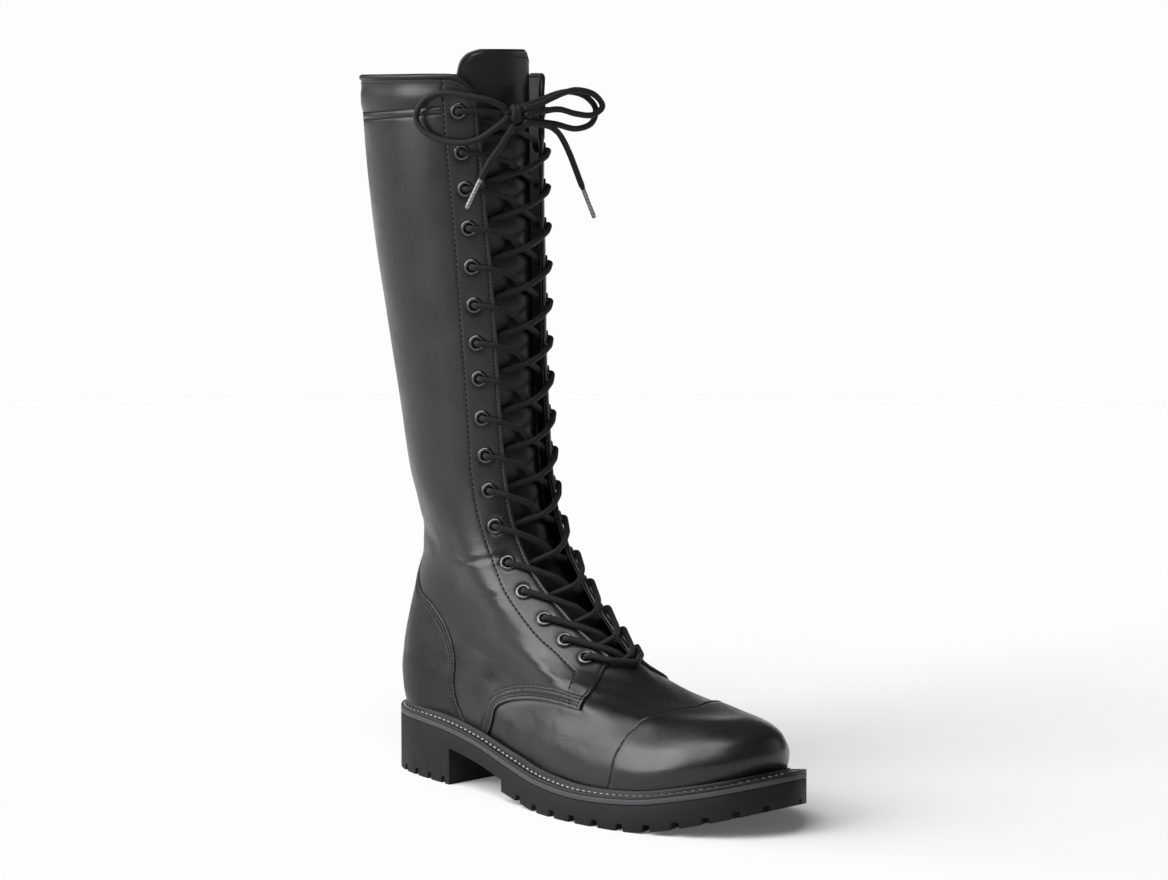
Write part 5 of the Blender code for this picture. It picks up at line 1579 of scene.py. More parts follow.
LOOP_LATERAL = (
    at_knot(0.0015, -0.0060, 0.0036),
    (0.0668, -0.0330, 0.4026), (0.0575, -0.0428, 0.4056), (0.0450, -0.0520, 0.4072),
    (0.0358, -0.0567, 0.4033), (0.0303, -0.0585, 0.3938), (0.0339, -0.0570, 0.3861),
    (0.0417, -0.0532, 0.3812), (0.0495, -0.0486, 0.3790), (0.0572, -0.0432, 0.3791),
    (0.0628, -0.0380, 0.3815), (0.0680, -0.0320, 0.3868),
    at_knot(0.0020, -0.0060, -0.0030),
)
LOOP_MEDIAL_FRONT = (
    at_knot(0.0034, 0.0057, 0.0034),
    (0.0781, -0.0060, 0.4008), (0.0788, 0.0030, 0.4040), (0.0802, 0.0127, 0.4074),
    (0.0811, 0.0221, 0.4088), (0.0827, 0.0350, 0.4055), (0.0830, 0.0405, 0.3990),
    (0.0817, 0.0340, 0.3943), (0.0803, 0.0215, 0.3950), (0.0793, 0.0090, 0.3977),
    (0.0786, -0.0040, 0.3966),
    at_knot(0.0042, 0.0057, -0.0004),
)
LOOP_MEDIAL_BACK = (
    at_knot(-0.0006, 0.0058, 0.0044),
    (0.0734, -0.0050, 0.4018), (0.0738, 0.0030, 0.4042), (0.0745, 0.0127, 0.4068),
    (0.0752, 0.0215, 0.4077), (0.0768, 0.0330, 0.4048), (0.0780, 0.0398, 0.3976),
    (0.0779, 0.0371, 0.3898), (0.0768, 0.0255, 0.3862), (0.0755, 0.0092, 0.3892),
    (0.0744, -0.0030, 0.3905),
    at_knot(0.0002, 0.0058, -0.0042),
)
END_LATERAL = (
    at_knot(0.0030, -0.0018, -0.0062),
    (0.0722, -0.0250, 0.3840), (0.0694, -0.0288, 0.3765), (0.0665, -0.0325, 0.3700),
    (0.0643, -0.0352, 0.3640), (0.0622, -0.0374, 0.3580),
)
END_MEDIAL = (
    at_knot(0.0042, 0.0048, -0.0044),
    (0.0789, -0.0060, 0.3892), (0.0789, 0.0029, 0.3875), (0.0790, 0.0085, 0.3842),
    (0.0792, 0.0125, 0.3795), (0.0796, 0.0170, 0.3720), (0.0800, 0.0206, 0.3646),
    (0.0805, 0.0240, 0.3570), (0.0809, 0.0268, 0.3510),
)
CORDS = {
    "lace_loop_lateral": LOOP_LATERAL,
    "lace_loop_medial_front": LOOP_MEDIAL_FRONT,
    "lace_loop_medial_back": LOOP_MEDIAL_BACK,
    "lace_end_lateral": END_LATERAL,
    "lace_end_medial": END_MEDIAL,
}
AGLET = 0.0013               # radius of a lace tip
AGLET_LENGTH = 0.018


def make_cords():
    """The bow's loops and ends, and the tips of the ends."""
    radius = bpy.context.scene.boot_sizes.lace / 2
    finish = finishes()
    for name, route in CORDS.items():
        path = open_curve(route, 0.0012)
        length = float(lengths_along(path)[-1])
        loop = "loop" in name
        sizes = np.full(len(path), radius)
        if not loop:
            sizes *= 1 - 0.3 * ease((lengths_along(path) - length + 0.0025) / 0.0025)
        made = tube(name, path, sizes, 12, finish["lace"])
        settle(made, "boot", "black_lace", name)
        tips = []
        if not loop:
            end, ahead = path[-1], unit(path[-1] - path[-2])
            run = np.linspace(GAP, GAP + AGLET_LENGTH, 12)[:, None]
            swell = AGLET * (1 + 0.03 * np.sin(np.linspace(0, 9, 12)))
            tip_name = name.replace("lace_end", "aglet")
            tips.append(tube(tip_name, end + ahead * run, swell, 12, finish["sleeve"]))
            settle(tips[0], "boot", "aglet_plastic", tip_name)


def joined_tubes(name, lines, finish):
    """One object from several tubes, each a line of points with its radius."""
    made = [tube(f"{name}_{number}", points, radius, 10, finish)
            for number, (points, radius) in enumerate(lines)]
    return join(made, name)


def join(objects, name):
    """Joins objects into the first of them."""
    bpy.ops.object.select_all(action="DESELECT")
    for made in objects:
        made.select_set(True)
    bpy.context.view_layer.objects.active = objects[0]
    bpy.ops.object.join()
    objects[0].name = name
    objects[0].data.name = name
    objects[0].select_set(False)
    return objects[0]


def make_knot():
    """The bow's knot: the lace's wraps round the gathered strands."""
    radius = bpy.context.scene.boot_sizes.lace / 2
    share = np.linspace(0, 1, 70)
    swing = radians(200) + share * 2 * pi * 1.85
    tuck = 0.55 + 0.45 * ease(np.minimum(share, 1 - share) * 9)
    wrap = (KNOT + np.outer(np.cos(swing) * 0.0035 * tuck, BOW_OFF)
            + np.outer(np.sin(swing) * 0.0041 * tuck, UP) + np.outer((share - 0.5) * 0.0044, BOW_ALONG))
    core = np.array([at_knot(0, along, 0) for along in np.linspace(-0.0054, 0.0054, 9)])
    lines = [(wrap, radius)]
    for off, up in ((0.0014, 0.0016), (-0.0012, 0.0012), (0.0012, -0.0017), (-0.0010, -0.0015)):
        lines.append((core + BOW_OFF * off + UP * up, radius * 0.95))
    made = joined_tubes("lace_knot", lines, finishes()["lace"])
    settle(made, "boot", "black_lace", "lace_knot")


SEATS = {}


def seats():
    """Middle and axis of every eyelet, by side and row."""
    if not SEATS:
        for side, row, level, turn in eyelet_places():
            here = np.array([level]), np.array([turn])
            axis = face_normal(*here)[0]
            SEATS[(side, row)] = boot_face(*here)[0] + axis * relief(*here)[0], axis
    return SEATS


def seat(side, row, height):
    """Point on an eyelet's axis."""
    middle, axis = seats()[(side, row)]
    return middle + axis * height


def strand(start, end, sign):
    """Points of one strand across the throat, from the top of a bore to the bottom of another."""
    (from_side, from_row), (to_side, to_row) = start, end
    from_level, from_arc = EYELET_ROWS[from_row - 1]
    to_level, to_arc = EYELET_ROWS[to_row - 1]
    from_arc, to_arc = from_side * from_arc, to_side * to_arc

    def along(arc, height, drop=1.0):
        share = drop * (arc - from_arc) / (to_arc - from_arc)
        return off_face(from_level + (to_level - from_level) * share, arc, height)

    half = float(throat_half((from_level + to_level) / 2))
    drop, middle = (0.3, 0.62) if from_side == LATERAL else (1.0, 1.0)
    return [
        seat(*start, LACE_OVER),
        along(from_side * (half + 0.0008), LACE_OVER - 0.0005, drop),
        along(from_side * half * 0.45, LACE_CROSS * 0.8, middle),
        along(0, LACE_CROSS * sign),
        along(to_side * half, -LACE_UNDER + LACE_EASE),
        seat(*end, -LACE_UNDER),
    ]


def lace_path(first):
    """One half of the lace, from the knot through a top eyelet and down to the last row."""
    level, _ = EYELET_ROWS[0]
    following, _ = EYELET_ROWS[1]
    middle = (level + following) / 2
    half = float(throat_half(level))
    half_middle = float(throat_half(middle))
    side = -first
    points = [
        np.array(at_knot(-0.0026, first * 0.0058, 0)),
        off_face(level, first * half, LACE_OVER + LACE_EASE),
        seat(first, 1, LACE_OVER),
        seat(first, 1, -LACE_UNDER),
        off_face(level - LACE_TOP_SHIFT, first * half_middle, -LACE_UNDER + LACE_EASE),
        off_face(middle, 0, -LACE_TOP_CROSS + LACE_CROSS * side),
        off_face(following + LACE_TOP_SHIFT, side * half_middle, -LACE_UNDER + LACE_EASE),
        seat(side, 2, -LACE_UNDER),
    ]
    for row in range(2, EYELETS):
        points += strand((side, row), (-side, row + 1), side)
        side = -side
    points.append(seat(side, EYELETS, LACE_OVER))
    return points, side


def soften(points, spacing, reach):
    """A line of points with its corners rounded."""
    even = evenly(points, spacing)
    span = int(3 * reach / spacing)
    weights = np.exp(-0.5 * (np.arange(-span, span + 1) * spacing / reach) ** 2)
    weights /= weights.sum()
    padded = np.vstack([np.repeat(even[:1], span, axis=0), even, np.repeat(even[-1:], span, axis=0)])
    return np.column_stack([np.convolve(padded[:, axis], weights, "valid") for axis in range(3)])


def make_lacing():
    """The lace through all the eyelets, in its two halves with the bar that joins them."""
    radius = bpy.context.scene.boot_sizes.lace / 2
    lines = []
    for first in (LATERAL, MEDIAL):
        points, last = lace_path(first)
        if last == LATERAL:
            level, arc = EYELET_ROWS[-1]
            points += [off_face(level, share * arc, LACE_OVER) for share in (-0.5, 0, 0.5)]
            points.append(seat(MEDIAL, EYELETS, LACE_OVER - 0.0004))
        line = soften(np.array(points), 0.0006, 0.0017)[::2]
        lines.append((line, radius))
    made = joined_tubes("lacing", lines, finishes()["lace"])
    settle(made, "boot", "black_lace", "lace_crossings")


def ready(kind, **sizes):
    """Adds one of Blender's own shapes with nothing else selected."""
    bpy.ops.object.select_all(action="DESELECT")
    getattr(bpy.ops.mesh, f"primitive_{kind}_add")(**sizes)
    return bpy.context.active_object


def resized(made, size, corner=0.0, segments=1):
    """Resizes the mesh of the shape just added, and rounds its edges by a corner."""
    bpy.ops.object.mode_set(mode="EDIT")
    bpy.ops.mesh.select_all(action="SELECT")
    bpy.ops.transform.resize(value=size)
    if corner:
        bpy.ops.mesh.bevel(offset=corner, segments=segments, affect="EDGES")
    bpy.ops.object.mode_set(mode="OBJECT")
    return made


def placed(made, matrix):
    """Moves a mesh itself by a matrix."""
    made.data.transform(matrix)
    made.data.update()
    return made


def pressed(made, modifier, **settings):
    """Adds a modifier to an object and applies it."""
    bpy.context.view_layer.objects.active = made
    added = made.modifiers.new(modifier.title(), modifier)
    for key, value in settings.items():
        setattr(added, key, value)
    bpy.ops.object.modifier_apply(modifier=added.name)
    return made


FLANGE_RADIUS = 0.00362
FLANGE_ROLL = 0.00105
FLANGE_FLAT = 0.72           # how much the rolled flange is flattened
BARREL_RADIUS = 0.00305
BARREL_DEPTH = 0.0032


def make_eyelets():
    """The rolled eyelets: one modelled, the others copied to their places."""
    flange = resized(ready("torus", major_segments=36, minor_segments=10, major_radius=FLANGE_RADIUS,
                           minor_radius=FLANGE_ROLL), (1, 1, FLANGE_FLAT))
    barrel = ready("cylinder", vertices=36, radius=BARREL_RADIUS, depth=BARREL_DEPTH,
                   end_fill_type="NOTHING", location=(0, 0, -BARREL_DEPTH / 2))
    bpy.ops.object.transform_apply()
    pressed(barrel, "SOLIDIFY", thickness=0.0005, offset=-1)
    pattern = join([flange, barrel], "eyelet_pattern")
    pattern.data.materials.clear()
    pattern.data.materials.append(finishes()["gunmetal"])
    smooth(pattern, 50)
    for (side, row), (middle, axis) in seats().items():
        turned = Vector((0, 0, 1)).rotation_difference(Vector(axis)).to_matrix().to_4x4()
        mesh = pattern.data.copy()
        mesh.transform(Matrix.Translation(Vector(middle + axis * 0.00015)) @ turned)
        name = f"eyelet_{'lateral' if side == LATERAL else 'medial'}_{row:02d}"
        made = bpy.data.objects.new(name, mesh)
        bpy.context.scene.collection.objects.link(made)
        settle(made, "boot", "gunmetal", name)
    bpy.data.objects.remove(pattern)


# ---------------------------------------------------------------- sole
WELT_LEVEL = 0.14            # level of the upper's face that the welt lies against
WELT_THREAD = 0.00052
SOLE_STEPS = 84
SOLE_BEVEL = {"width": 0.0005, "segments": 2, "limit_method": "ANGLE", "angle_limit": radians(40)}


def sole_outline(count, inset=0.0):
    """Evenly spaced points on the sole's edge, counterclockwise from above, moved in by an inset."""
    rows = [dict(zip(SOLE_COLUMNS, row)) for row in SOLE]
    corners = [(row["x"], row["lateral_y"]) for row in rows]
    corners += [(row["x"], row["medial_y"]) for row in reversed(rows[1:-1])]
    edge = closed_curve(np.array(corners), 720)
    edge = evenly(np.vstack([edge, edge[:1]]), 1.0, count + 1)[:-1]
    ahead = unit(np.roll(edge, -1, axis=0) - np.roll(edge, 1, axis=0))
    return edge + np.column_stack([-ahead[:, 1], ahead[:, 0]]) * inset


OUTLINES = {}


def sole_side(side, inset=0.0):
    """One edge of the sole from heel to toe."""
    if (side, inset) not in OUTLINES:
        edge = sole_outline(1440, inset)
        edge = np.roll(edge, -int(edge[:, 0].argmin()), axis=0)
        toe = int(edge[:, 0].argmax())
        half = edge[:toe + 1]
        if (half[toe // 2, 1] > 0) == (side == LATERAL):
            half = np.vstack([edge[:1], edge[:toe - 1:-1]])
        OUTLINES[(side, inset)] = half
    return OUTLINES[(side, inset)]


def edge_y(side, x, inset=0.0):
    """Where an edge of the sole is at a place along the foot."""
    half = sole_side(side, inset)
    return float(np.interp(x, np.maximum.accumulate(half[:, 0]), half[:, 1]))


def edge_at(side, distance):
    """Point on the sole's edge and its outward direction, at a distance along it from the back."""
    half = sole_side(side)
    along = lengths_along(half)
    point, ahead = (np.array([np.interp(distance + more, along, half[:, axis]) for axis in (0, 1)])
                    for more in (0, 0.001))
    ahead = ahead - point
    return point, unit(np.array([-ahead[1], ahead[0]]) * side)


def loft(name, sections, *finishes, closed=False):
    """A closed solid through rings of points, its faces turned outward."""
    sections = np.asarray(sections, float)
    count, around = sections.shape[:2]
    if closed:
        sections = np.concatenate([sections, sections[:1]])
    faces = grid_faces(len(sections), around, closed_columns=True)
    if closed:
        faces = faces % (count * around)
    faces = faces.tolist()
    if not closed:
        faces += [list(range(around)), list(range((count - 1) * around, count * around))]
    made = mesh_object(name, sections[:count].reshape(-1, 3), faces, *finishes)
    work = bmesh.new()
    work.from_mesh(made.data)
    bmesh.ops.remove_doubles(work, verts=work.verts, dist=1e-6)
    bmesh.ops.recalc_face_normals(work, faces=work.faces)
    work.to_mesh(made.data)
    work.free()
    return made


def under_welt(*layers):
    """Function that gives the height under some layers, at a place along the foot."""
    def height(x):
        level = welt_height(x)
        for layer in layers:
            level = level - layer
        return level

    return height


strip_bottom = under_welt(MIDSOLE)
rubber_top = under_welt(MIDSOLE, GAP)
plate_bottom = under_welt(MIDSOLE, GAP, SHANK)
block_top = under_welt(MIDSOLE, GAP, SHANK, -BLOCK_OVERLAP)


def flat(x):
    """The heel block's floor."""
    return x * 0.0


def deck(name, start, end, low, high, *finishes):
    """A slab with the sole's outline between two places along the foot."""
    middle, half = (TOE_TIP + HEEL_BACK) / 2, (TOE_TIP - HEEL_BACK) / 2
    places = middle - half * np.cos(pi * np.arange(SOLE_STEPS + 1) / SOLE_STEPS)
    places = [x for x in places if start + 0.0012 < x < end - 0.0012]
    sections = []
    for x in [start + GAP, *places, end - GAP]:
        lateral, medial = edge_y(LATERAL, x), edge_y(MEDIAL, x)
        bottom, top = float(low(x)), float(high(x))
        sections.append([(x, lateral, bottom), (x, medial, bottom), (x, medial, top), (x, lateral, top)])
    return loft(name, sections, *finishes)


def notch(side, distance, width):
    """Cutter for one notch in the tread's edge, wider at its mouth."""
    point, out = edge_at(side, distance)
    along = np.array((-out[1], out[0], 0))
    out = np.array((*out, 0))
    base = np.array((*point, 0)) - out * NOTCH_REACH
    forefoot = point[0] > HEEL_BREAST
    sections = []
    for reach, x in ((0, base[0]), (NOTCH_REACH + NOTCH_DEPTH, point[0])):
        surface = float(tread_height(x)) if forefoot else 0.0
        low = base + out * reach + UP * (surface - CUT_CLEAR)
        high = base + out * reach + UP * (surface + NOTCH_DEPTH)
        mouth, root = along * width * 0.62, along * width * 0.38
        sections.append([low - mouth, low + mouth, high + root, high - root])
    return loft("notch_cutter", sections)


def channel(ends, bottom):
    """Cutter for the groove between the edge lugs and the middle of the tread."""
    start, end = ends
    steps = 20
    outline = []
    for side, order in ((LATERAL, range(steps + 1)), (MEDIAL, range(steps, -1, -1))):
        for step in order:
            x = start + (end - start) * (1 - cos(pi * step / steps)) / 2
            outline.append((x, edge_y(side, x, EDGE_LUG)))
    outline = np.array(outline)
    centre = outline.mean(0)
    inner = outline + unit(centre - outline) * CHANNEL
    sections = []
    for outside, inside in zip(outline, inner):
        low_out, low_in = float(bottom(outside[0])), float(bottom(inside[0]))
        sections.append([(*outside, low_out - CUT_CLEAR), (*inside, low_in - CUT_CLEAR),
                         (*inside, low_in + NOTCH_DEPTH), (*outside, low_out + NOTCH_DEPTH)])
    return loft("channel_cutter", sections, closed=True)


def cross_groove(x):
    """Cutter for a groove across the middle of the forefoot."""
    low, high = float(tread_height(x)) - CUT_CLEAR, float(tread_height(x)) + NOTCH_DEPTH
    sections = []
    for y in (edge_y(LATERAL, x, LAND_INSET), edge_y(MEDIAL, x, LAND_INSET)):
        back, front = x - LAND_NOTCH / 2, x + LAND_NOTCH / 2
        sections.append([(back, y, low), (front, y, low), (front, y, high), (back, y, high)])
    return loft("groove_cutter", sections)


def carve(made, tool, operation="DIFFERENCE"):
    """Cuts an object with another, or joins the other to it, and drops the other."""
    pressed(made, "BOOLEAN", operation=operation, object=tool, solver="EXACT")
    bpy.data.objects.remove(tool)


def make_outsole():
    """The moulded rubber unit with its tread."""
    outsole = deck("outsole", HEEL_BACK, TOE_TIP, plate_bottom, rubber_top, finishes()["rubber"])
    carve(outsole, deck("heel_block", HEEL_BACK, HEEL_BREAST, flat, block_top), "UNION")
    carve(outsole, deck("forefoot_block", FOREFOOT_START, TOE_TIP, tread_height, block_top), "UNION")
    tools = []
    for first, pitch, count, width in (HEEL_NOTCH, FOREFOOT_NOTCH):
        for side in (LATERAL, MEDIAL):
            tools += [notch(side, first + pitch * number, width) for number in range(count)]
    carve(outsole, join(tools, "edge_notches"))
    carve(outsole, channel(HEEL_CHANNEL, flat))
    carve(outsole, channel(FOREFOOT_CHANNEL, tread_height))
    for x in LAND_NOTCHES:
        carve(outsole, cross_groove(x))
    pressed(outsole, "BEVEL", **SOLE_BEVEL)
    smooth(outsole, 30)
    settle(outsole, "boot", "rubber", "outsole")


def make_midsole():
    """The grey strip, slightly rounded at its edges."""
    made = deck("midsole", HEEL_BACK, TOE_TIP, strip_bottom, welt_height, finishes()["strip"])
    pressed(made, "BEVEL", **SOLE_BEVEL)
    smooth(made, 40)
    settle(made, "boot", "grey_strip", "midsole")


# The welt's section: (millimetres from its inner or its outer edge, height in millimetres).
WELT_INNER = ((0, 0), (0, 3.7), (0.35, 4.15), (0.95, 4.3), (1.55, 4.05), (1.95, 3.3), (2.15, 2.2),
              (2.55, 1.3))
WELT_OUTER = ((2.35, 1.15), (1.95, 1.55), (1.45, 1.85), (0.8, 1.85), (0.3, 1.6), (0, 1.05), (0, 0))


def welt_lines(count=420):
    """Inner and outer points of the welt."""
    turns = turn_columns(WELT_LEVEL, -pi, pi, count + 1)[:-1]
    face = boot_face(np.full(count, WELT_LEVEL), turns)[:, :2]
    ahead = unit(np.roll(face, -1, axis=0) - np.roll(face, 1, axis=0))
    out = np.column_stack([ahead[:, 1], -ahead[:, 0]])
    if (out * (face - face.mean(0))).sum() < 0:
        out = -out
    inner = face + out * 0.0001
    edge = sole_outline(2880)
    away = edge[None] - inner[:, None]
    ahead_part = (away * out[:, None]).sum(2)
    aside = np.abs((away * np.column_stack([-out[:, 1], out[:, 0]])[:, None]).sum(2))
    outer = edge[np.argmin(np.where(ahead_part > 0, aside, 1), axis=1)]
    return inner, outer


def make_welt():
    """The storm welt: a bead against the upper, a channel for its stitches, and a lip."""
    inner, outer = welt_lines()
    width = np.linalg.norm(outer - inner, axis=1)
    across = (outer - inner) / width[:, None]
    squeeze = np.minimum(width / 0.0062, 1)
    sections = []
    for start, inward, points in ((inner, across, WELT_INNER), (outer, -across, WELT_OUTER)):
        for distance, height in points:
            place = start + inward * (distance * MM * squeeze)[:, None]
            low = welt_height(place[:, 0]) + 0.0001
            sections.append(np.column_stack([place, low + height * MM]))
    sections = np.stack(sections, axis=1)
    made = loft("welt", sections, finishes()["welt"], closed=True)
    smooth(made, 50)
    settle(made, "boot", "welt_rubber", "welt")

    sizes = bpy.context.scene.boot_sizes
    line = (sections[:, 7] + sections[:, 8]) / 2
    line = np.vstack([line, line[:1]])
    line = evenly(line, 0.0008)
    line[:, 2] += 0.00025 + np.random.default_rng(5).normal(0, 0.00006, len(line))
    rows = Stitches()
    rows.along(line, np.tile(UP, (len(line), 1)), sizes.welt_pitch, sizes.welt_pitch * 0.74, WELT_THREAD)
    settle(rows.make("welt_stitches", finishes()["welt_thread"]), "boot", "welt_rubber")


def finish_insole():
    """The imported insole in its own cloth."""
    bpy.data.objects["insole"].material_slots[0].material = finishes()["board"]


# ---------------------------------------------------------------- zip
TAPE_EDGES = {"zip_tape_back": (0.0056, 0.0007), "zip_tape_front": (-0.0007, -0.0056)}
TAPE_OUTER = 0.0009          # the tape's faces under the leather's face
TAPE_INNER = 0.0016
TOOTH = (0.0028, 0.00068, 0.0015)
TOOTH_PITCH = 0.00125        # between two teeth of one tape
TOOTH_SHIFT = 0.00085
SLIDER_LEVEL = 18.72
SLIDER_HALF = 0.0042
SLIDER_LENGTH = 0.0105
SLIDER_THICK = 0.0014
SLIDER_STAND = 0.0007        # the slider's plate over the leather's face
PIN = 0.0006                 # radius of the pull's wire
PIN_HEIGHT = 0.0013
PULL_HALF = 0.0021
PULL_LENGTH = 0.0130
PULL_TIP = (0.0024, 0.0040, 0.0008)


class ZipFrame:
    """Middle of the slider's plate and its three directions: off the boot, up the zip, across it."""

    def __init__(self):
        level = np.array([SLIDER_LEVEL - 0.2, SLIDER_LEVEL, SLIDER_LEVEL + 0.2])
        turn = zip_turns(level)
        below, here, above = boot_face(level, turn)
        off = face_normal(level, turn)[1]
        self.up = unit(above - below)
        self.off = unit(off - self.up * (off @ self.up))
        self.across = np.cross(self.off, self.up)
        self.middle = here + self.off * SLIDER_STAND

    def matrix(self, lift=0.0):
        place = self.middle + self.off * lift
        return Matrix([(*row, at) for row, at in zip(np.column_stack(
            [self.across, self.up, self.off]), place)] + [(0, 0, 0, 1)])


def make_tape():
    """The two woven tapes, with the cord along each inner edge."""
    levels = level_rows(ZIP_LOW, ZIP_TOP, 0.0012)
    finish = finishes()["tape"]
    turns = zip_turns(levels)
    middle = girth.arc(levels, turns)[:, None]
    rise = lengths_along(boot_face(levels, turns))
    for name, edges in TAPE_EDGES.items():
        across = np.linspace(*edges, 10)
        arc = middle + across[None]
        cord = 0.0005 * np.exp(-((np.abs(across) - 0.0028) / 0.0005) ** 2)
        level = np.broadcast_to(levels[:, None], arc.shape)
        made = slab(name, off_face(level, arc, -TAPE_OUTER + cord), off_face(level, arc, -TAPE_INNER),
                    finish)
        for key, values in (("across", np.broadcast_to(across, arc.shape)),
                            ("rise", np.broadcast_to(rise[:, None], arc.shape))):
            add_values(made, key, np.tile(values.ravel(), 2))
        settle(made, "boot", "zip_tape_cloth", *(["zip_tape"] if name == "zip_tape_back" else []))


def make_teeth():
    """The closed teeth: one modelled, the others set along both tapes in one mesh."""
    tooth = resized(ready("cube", size=1), TOOTH, 0.00016)
    shape = np.array([vertex.co[:] for vertex in tooth.data.vertices])
    faces = [list(face.vertices) for face in tooth.data.polygons]
    bpy.data.objects.remove(tooth)
    dense = np.linspace(ZIP_LOW + 0.1, ZIP_TOP - 0.02, 1200)
    turn = zip_turns(dense)
    line, normal = boot_face(dense, turn), face_normal(dense, turn)
    along = lengths_along(line)
    at = np.arange(0.0004, along[-1] - 0.0004, TOOTH_PITCH / 2)

    def read(values, places):
        return np.column_stack([np.interp(places, along, values[:, axis]) for axis in range(3)])

    middle = read(line, at)
    up = unit(read(line, at + 0.0004) - read(line, at - 0.0004))
    off = read(normal, at)
    off = unit(off - up * (off * up).sum(1)[:, None])
    across = np.cross(off, up)
    side = np.where(np.arange(len(at)) % 2, 1, -1)[:, None]
    middle = middle - off * TAPE_OUTER + across * side * TOOTH_SHIFT
    points = (middle[:, None] + shape[None, :, :1] * across[:, None] + shape[None, :, 1:2] * up[:, None]
              + shape[None, :, 2:] * off[:, None])
    every = [[corner + number * len(shape) for corner in face]
             for number in range(len(at)) for face in faces]
    made = mesh_object("zip_teeth", points.reshape(-1, 3), every, finishes()["steel"])
    settle(made, "boot", "zip_steel")


def make_slider():
    """The slider's rounded plate with its bridge, and the pull that hangs on it."""
    steel = finishes()["steel"]
    frame_here = ZipFrame()
    matrix = frame_here.matrix()
    body = resized(ready("cylinder", vertices=40, radius=1, depth=1),
                   (SLIDER_HALF, SLIDER_LENGTH / 2, SLIDER_THICK))
    placed(body, Matrix.Translation((0, 0, SLIDER_THICK / 2)))
    for vertex in body.data.vertices:
        rise = vertex.co.y / (SLIDER_LENGTH / 2)
        vertex.co.x = vertex.co.x * 0.86 + np.sign(vertex.co.x) * SLIDER_HALF * 0.14 * (abs(rise) < 0.9)
        vertex.co.x *= 0.87 + 0.13 * rise
    pressed(body, "BEVEL", width=0.00035, segments=3, limit_method="ANGLE", angle_limit=radians(50))
    body.data.materials.append(steel)
    placed(body, matrix)
    bridge = ready("torus", major_segments=32, minor_segments=12, major_radius=0.0025, minor_radius=0.00065)
    bridge.data.materials.append(steel)
    for step in (Matrix.Rotation(pi / 2, 4, "Y"), Matrix.Diagonal((1.25, 1.0, 0.93, 1)),
                 Matrix.Translation((0, 0, SLIDER_THICK - 0.0002)), matrix):
        placed(bridge, step)
    made = join([body, bridge], "zip_slider")
    smooth(made, 40)
    settle(made, "boot", "zip_steel", "zip_slider")

    matrix = frame_here.matrix(SLIDER_THICK + PIN_HEIGHT)
    narrow = PULL_HALF * 0.9
    loop = [(0, 0, 0), (-PULL_HALF, 0, 0), (-PULL_HALF, -0.001, 0), (-narrow, -PULL_LENGTH + 0.001, 0),
            (-narrow * 0.8, -PULL_LENGTH, 0), (narrow * 0.8, -PULL_LENGTH, 0),
            (narrow, -PULL_LENGTH + 0.001, 0), (PULL_HALF, -0.001, 0), (PULL_HALF, 0, 0), (0.0001, 0, 0)]
    line = soften(np.array(loop), 0.0002, 0.00035)[::2]
    line = np.array([matrix @ Vector(point) for point in line])
    bars = tube("zip_pull", line, PIN, 12, steel)
    tip = resized(ready("cube", size=1), PULL_TIP, 0.00032, 3)
    tip.data.materials.append(steel)
    placed(tip, matrix @ Matrix.Translation((0, -PULL_LENGTH - PULL_TIP[1] / 2 + 0.0002, 0)))
    made = join([bars, tip], "zip_pull")
    smooth(made, 40)
    settle(made, "zip_pull", "zip_steel", "zip_pull")


# ---------------------------------------------------------------- stage
CAMERA_PLACE = (1.555, -1.400, 0.432)
CAMERA_TILT = 6.36           # degrees down
CAMERA_TURN = 45.92
FLOOR_RADIUS = 2.3
FLOOR_DEPTH = 0.02
# The pale surroundings grow stronger towards one direction and towards the ground.
PALE_DIRECTION = (-0.697, 0.709, -0.111)
PALE_LEAN = (0.925, 0.968)
PALE_HEIGHT = (0.03, -0.09)
# Lights: name, direction from the boot, the setting of its strength, and spread in degrees.
LIGHTS = (
    ("key_light", (-0.32, -0.86, 0.38), "key", 46),
    ("side_light", (-0.82, -0.37, 0.43), "side", 38),
    ("high_light", (0.04, -0.50, 0.86), "high", 50),
    ("toe_light", (0.42, 0.87, 0.24), "fill", 30),
)


def softbox(name, direction, strength, spread):
    """A wide soft light, far off in a direction; spread is the angle that it fills."""
    lamp = bpy.data.lights.new(name, "SUN")
    lamp.energy = strength
    lamp.angle = radians(spread)
    made = bpy.data.objects.new(name, lamp)
    made.location = Vector(direction) * 2
    made.rotation_euler = Vector(direction).to_track_quat("Z", "Y").to_euler()
    bpy.context.scene.collection.objects.link(made)


